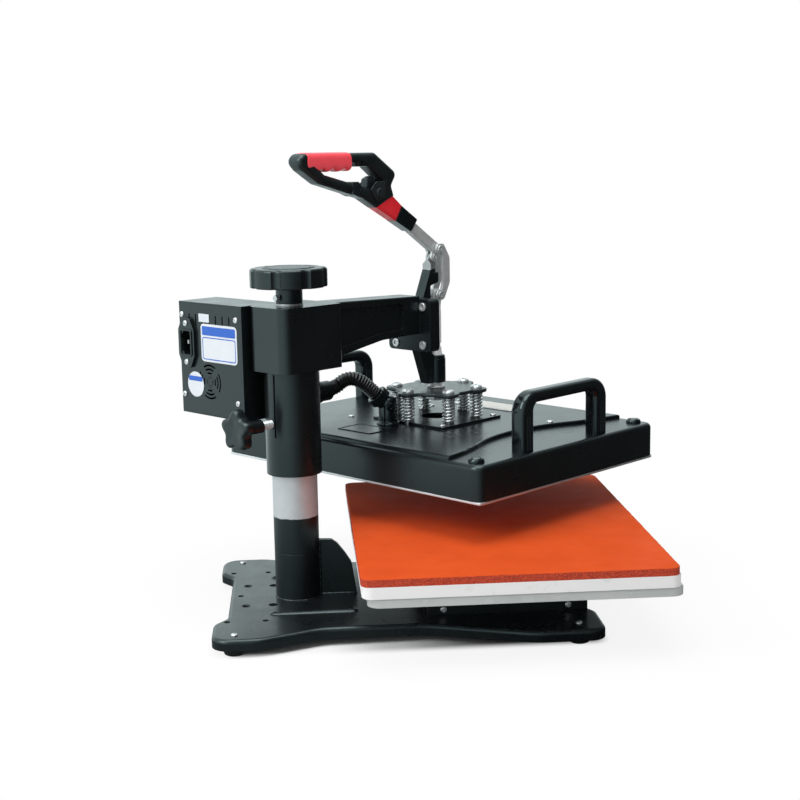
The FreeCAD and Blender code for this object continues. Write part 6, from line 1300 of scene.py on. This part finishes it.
# Stage: floor, lights and camera
BRIGHT_SIDE = Vector((0.25, 0.95, 0.2)).normalized()
AMBIENT = 0.42
REFLECTION_DARK = 0.05
REFLECTION_BRIGHT = 1.3
REFLECTION_EDGES = (-0.75, 0.4)
REFLECTION_TINT = (0.86, 0.99, 1.0, 1)
WHITE = (1, 1, 1, 1)
FLOOR_PAINT = (0.75, 0.75, 0.75, 1)
SHADOW_SHARE = 0.88
SHADOW_FADE = 0.02
FLOOR_FADE = 0.3
BASE_MIDDLE = (-0.094, 0.026, 0)
BASE_HALF = (0.12, 0.165, 0)
CAMERA_PLACE = Vector((-1482.47, 131.17, 458.74)) * MM
CAMERA_YAW = 0.0722
CAMERA_PITCH = 0.1729
CAMERA_ROLL = 0.0181
CAMERA_LENS = 63.34


def mirrored(graph, direction):
    """How bright a reflection is in a direction: light behind and to the left, dark to the right."""
    toward = graph.vector_step("DOT_PRODUCT", direction, BRIGHT_SIDE, "Value")
    return graph.remap(toward, *REFLECTION_EDGES, REFLECTION_DARK, REFLECTION_BRIGHT, "SMOOTHSTEP")


def surround():
    """White behind the object, dim for plain light, and for reflections bright on one side only."""
    world = bpy.data.worlds.new("surround")
    bpy.context.scene.world = world
    graph = Graph(world)
    graph.tree.nodes.clear()
    rays = graph.node("LightPath").outputs
    direction = graph.node("TexCoord").outputs["Generated"]
    shades = ((WHITE, 1.0), (WHITE, AMBIENT), (REFLECTION_TINT, mirrored(graph, direction)))
    white, dim, seen = (graph.node("Background", {"Color": colour, "Strength": strength}).outputs[0]
                        for colour, strength in shades)
    shown = graph.number_step("MAXIMUM", rays["Is Camera Ray"], rays["Is Transmission Ray"])
    result = graph.light_mix(shown, graph.light_mix(rays["Is Glossy Ray"], dim, seen), white)
    graph.node("OutputWorld", {"Surface": result})


def floor():
    """A pale floor. It keeps the object's soft shadow and turns white further out."""
    bpy.ops.mesh.primitive_plane_add(size=14, location=(2, 0, 0))
    plane = bpy.context.object
    plane.name = "floor"
    material = bpy.data.materials.new("floor_paint")
    graph = Graph(material)
    graph.tree.nodes.clear()
    rays = graph.node("LightPath").outputs
    place = graph.node("NewGeometry").outputs["Position"]
    away = graph.vector_step("ABSOLUTE", graph.vector_step("SUBTRACT", place, BASE_MIDDLE))
    outside = graph.vector_step("MAXIMUM", graph.vector_step("SUBTRACT", away, BASE_HALF))
    distance = graph.vector_step("LENGTH", outside, output="Value")
    mirror = mirrored(graph, graph.vector_step("NORMALIZE", place))
    steep = graph.number_step("MULTIPLY", mirror, graph.remap(distance, 0.0, 0.8, 0.2, 1.0, "SMOOTHSTEP"))
    near = graph.remap(distance, 0.0, SHADOW_FADE, 0.0, SHADOW_SHARE, "SMOOTHSTEP")
    far = graph.remap(distance, SHADOW_FADE, FLOOR_FADE, 0.0, 1.0 - SHADOW_SHARE, "SMOOTHSTEP")
    paint = graph.node("BsdfDiffuse", {"Color": FLOOR_PAINT}).outputs[0]
    white = graph.node("Emission").outputs[0]
    seen = graph.node("Emission", {"Color": REFLECTION_TINT, "Strength": steep}).outputs[0]
    shown = graph.light_mix(graph.number_step("ADD", near, far), paint, white)
    plain = graph.light_mix(rays["Is Camera Ray"], paint, shown)
    result = graph.light_mix(rays["Is Glossy Ray"], plain, seen)
    graph.node("OutputMaterial", {"Surface": result})
    plane.data.materials.append(material)


def add_object(name, data):
    """A lamp or a camera in the scene."""
    made = bpy.data.objects.new(name, data)
    bpy.context.scene.collection.objects.link(made)
    return made


def lamp(name, place, aim, size, watts):
    """A soft square lamp that looks at a point."""
    data = bpy.data.lights.new(name, "AREA")
    data.size = size
    data.energy = watts
    made = add_object(name, data)
    made.location = place
    made.rotation_euler = (Vector(aim) - Vector(place)).to_track_quat("-Z", "Y").to_euler()


def camera():
    """The photograph's camera."""
    data = bpy.data.cameras.new("camera")
    data.lens = CAMERA_LENS
    data.sensor_width = 36
    data.clip_start = 0.05
    data.clip_end = 50
    ahead = Vector((math.cos(CAMERA_YAW) * math.cos(CAMERA_PITCH),
                    -math.sin(CAMERA_YAW) * math.cos(CAMERA_PITCH), -math.sin(CAMERA_PITCH)))
    turn = ahead.to_track_quat("-Z", "Y").to_matrix().to_4x4() @ Matrix.Rotation(-CAMERA_ROLL, 4, "Z")
    made = add_object("camera", data)
    made.matrix_world = Matrix.Translation(CAMERA_PLACE) @ turn
    bpy.context.scene.camera = made


surround()
floor()
camera()
lamp("key", (-0.9, 1.5, 1.5), (0, 0, 0.2), 1.2, 28)
lamp("top", (-0.3, 0.1, 2.0), (0, 0, 0.1), 1.4, 27)
bpy.context.scene.view_settings.view_transform = "Standard"
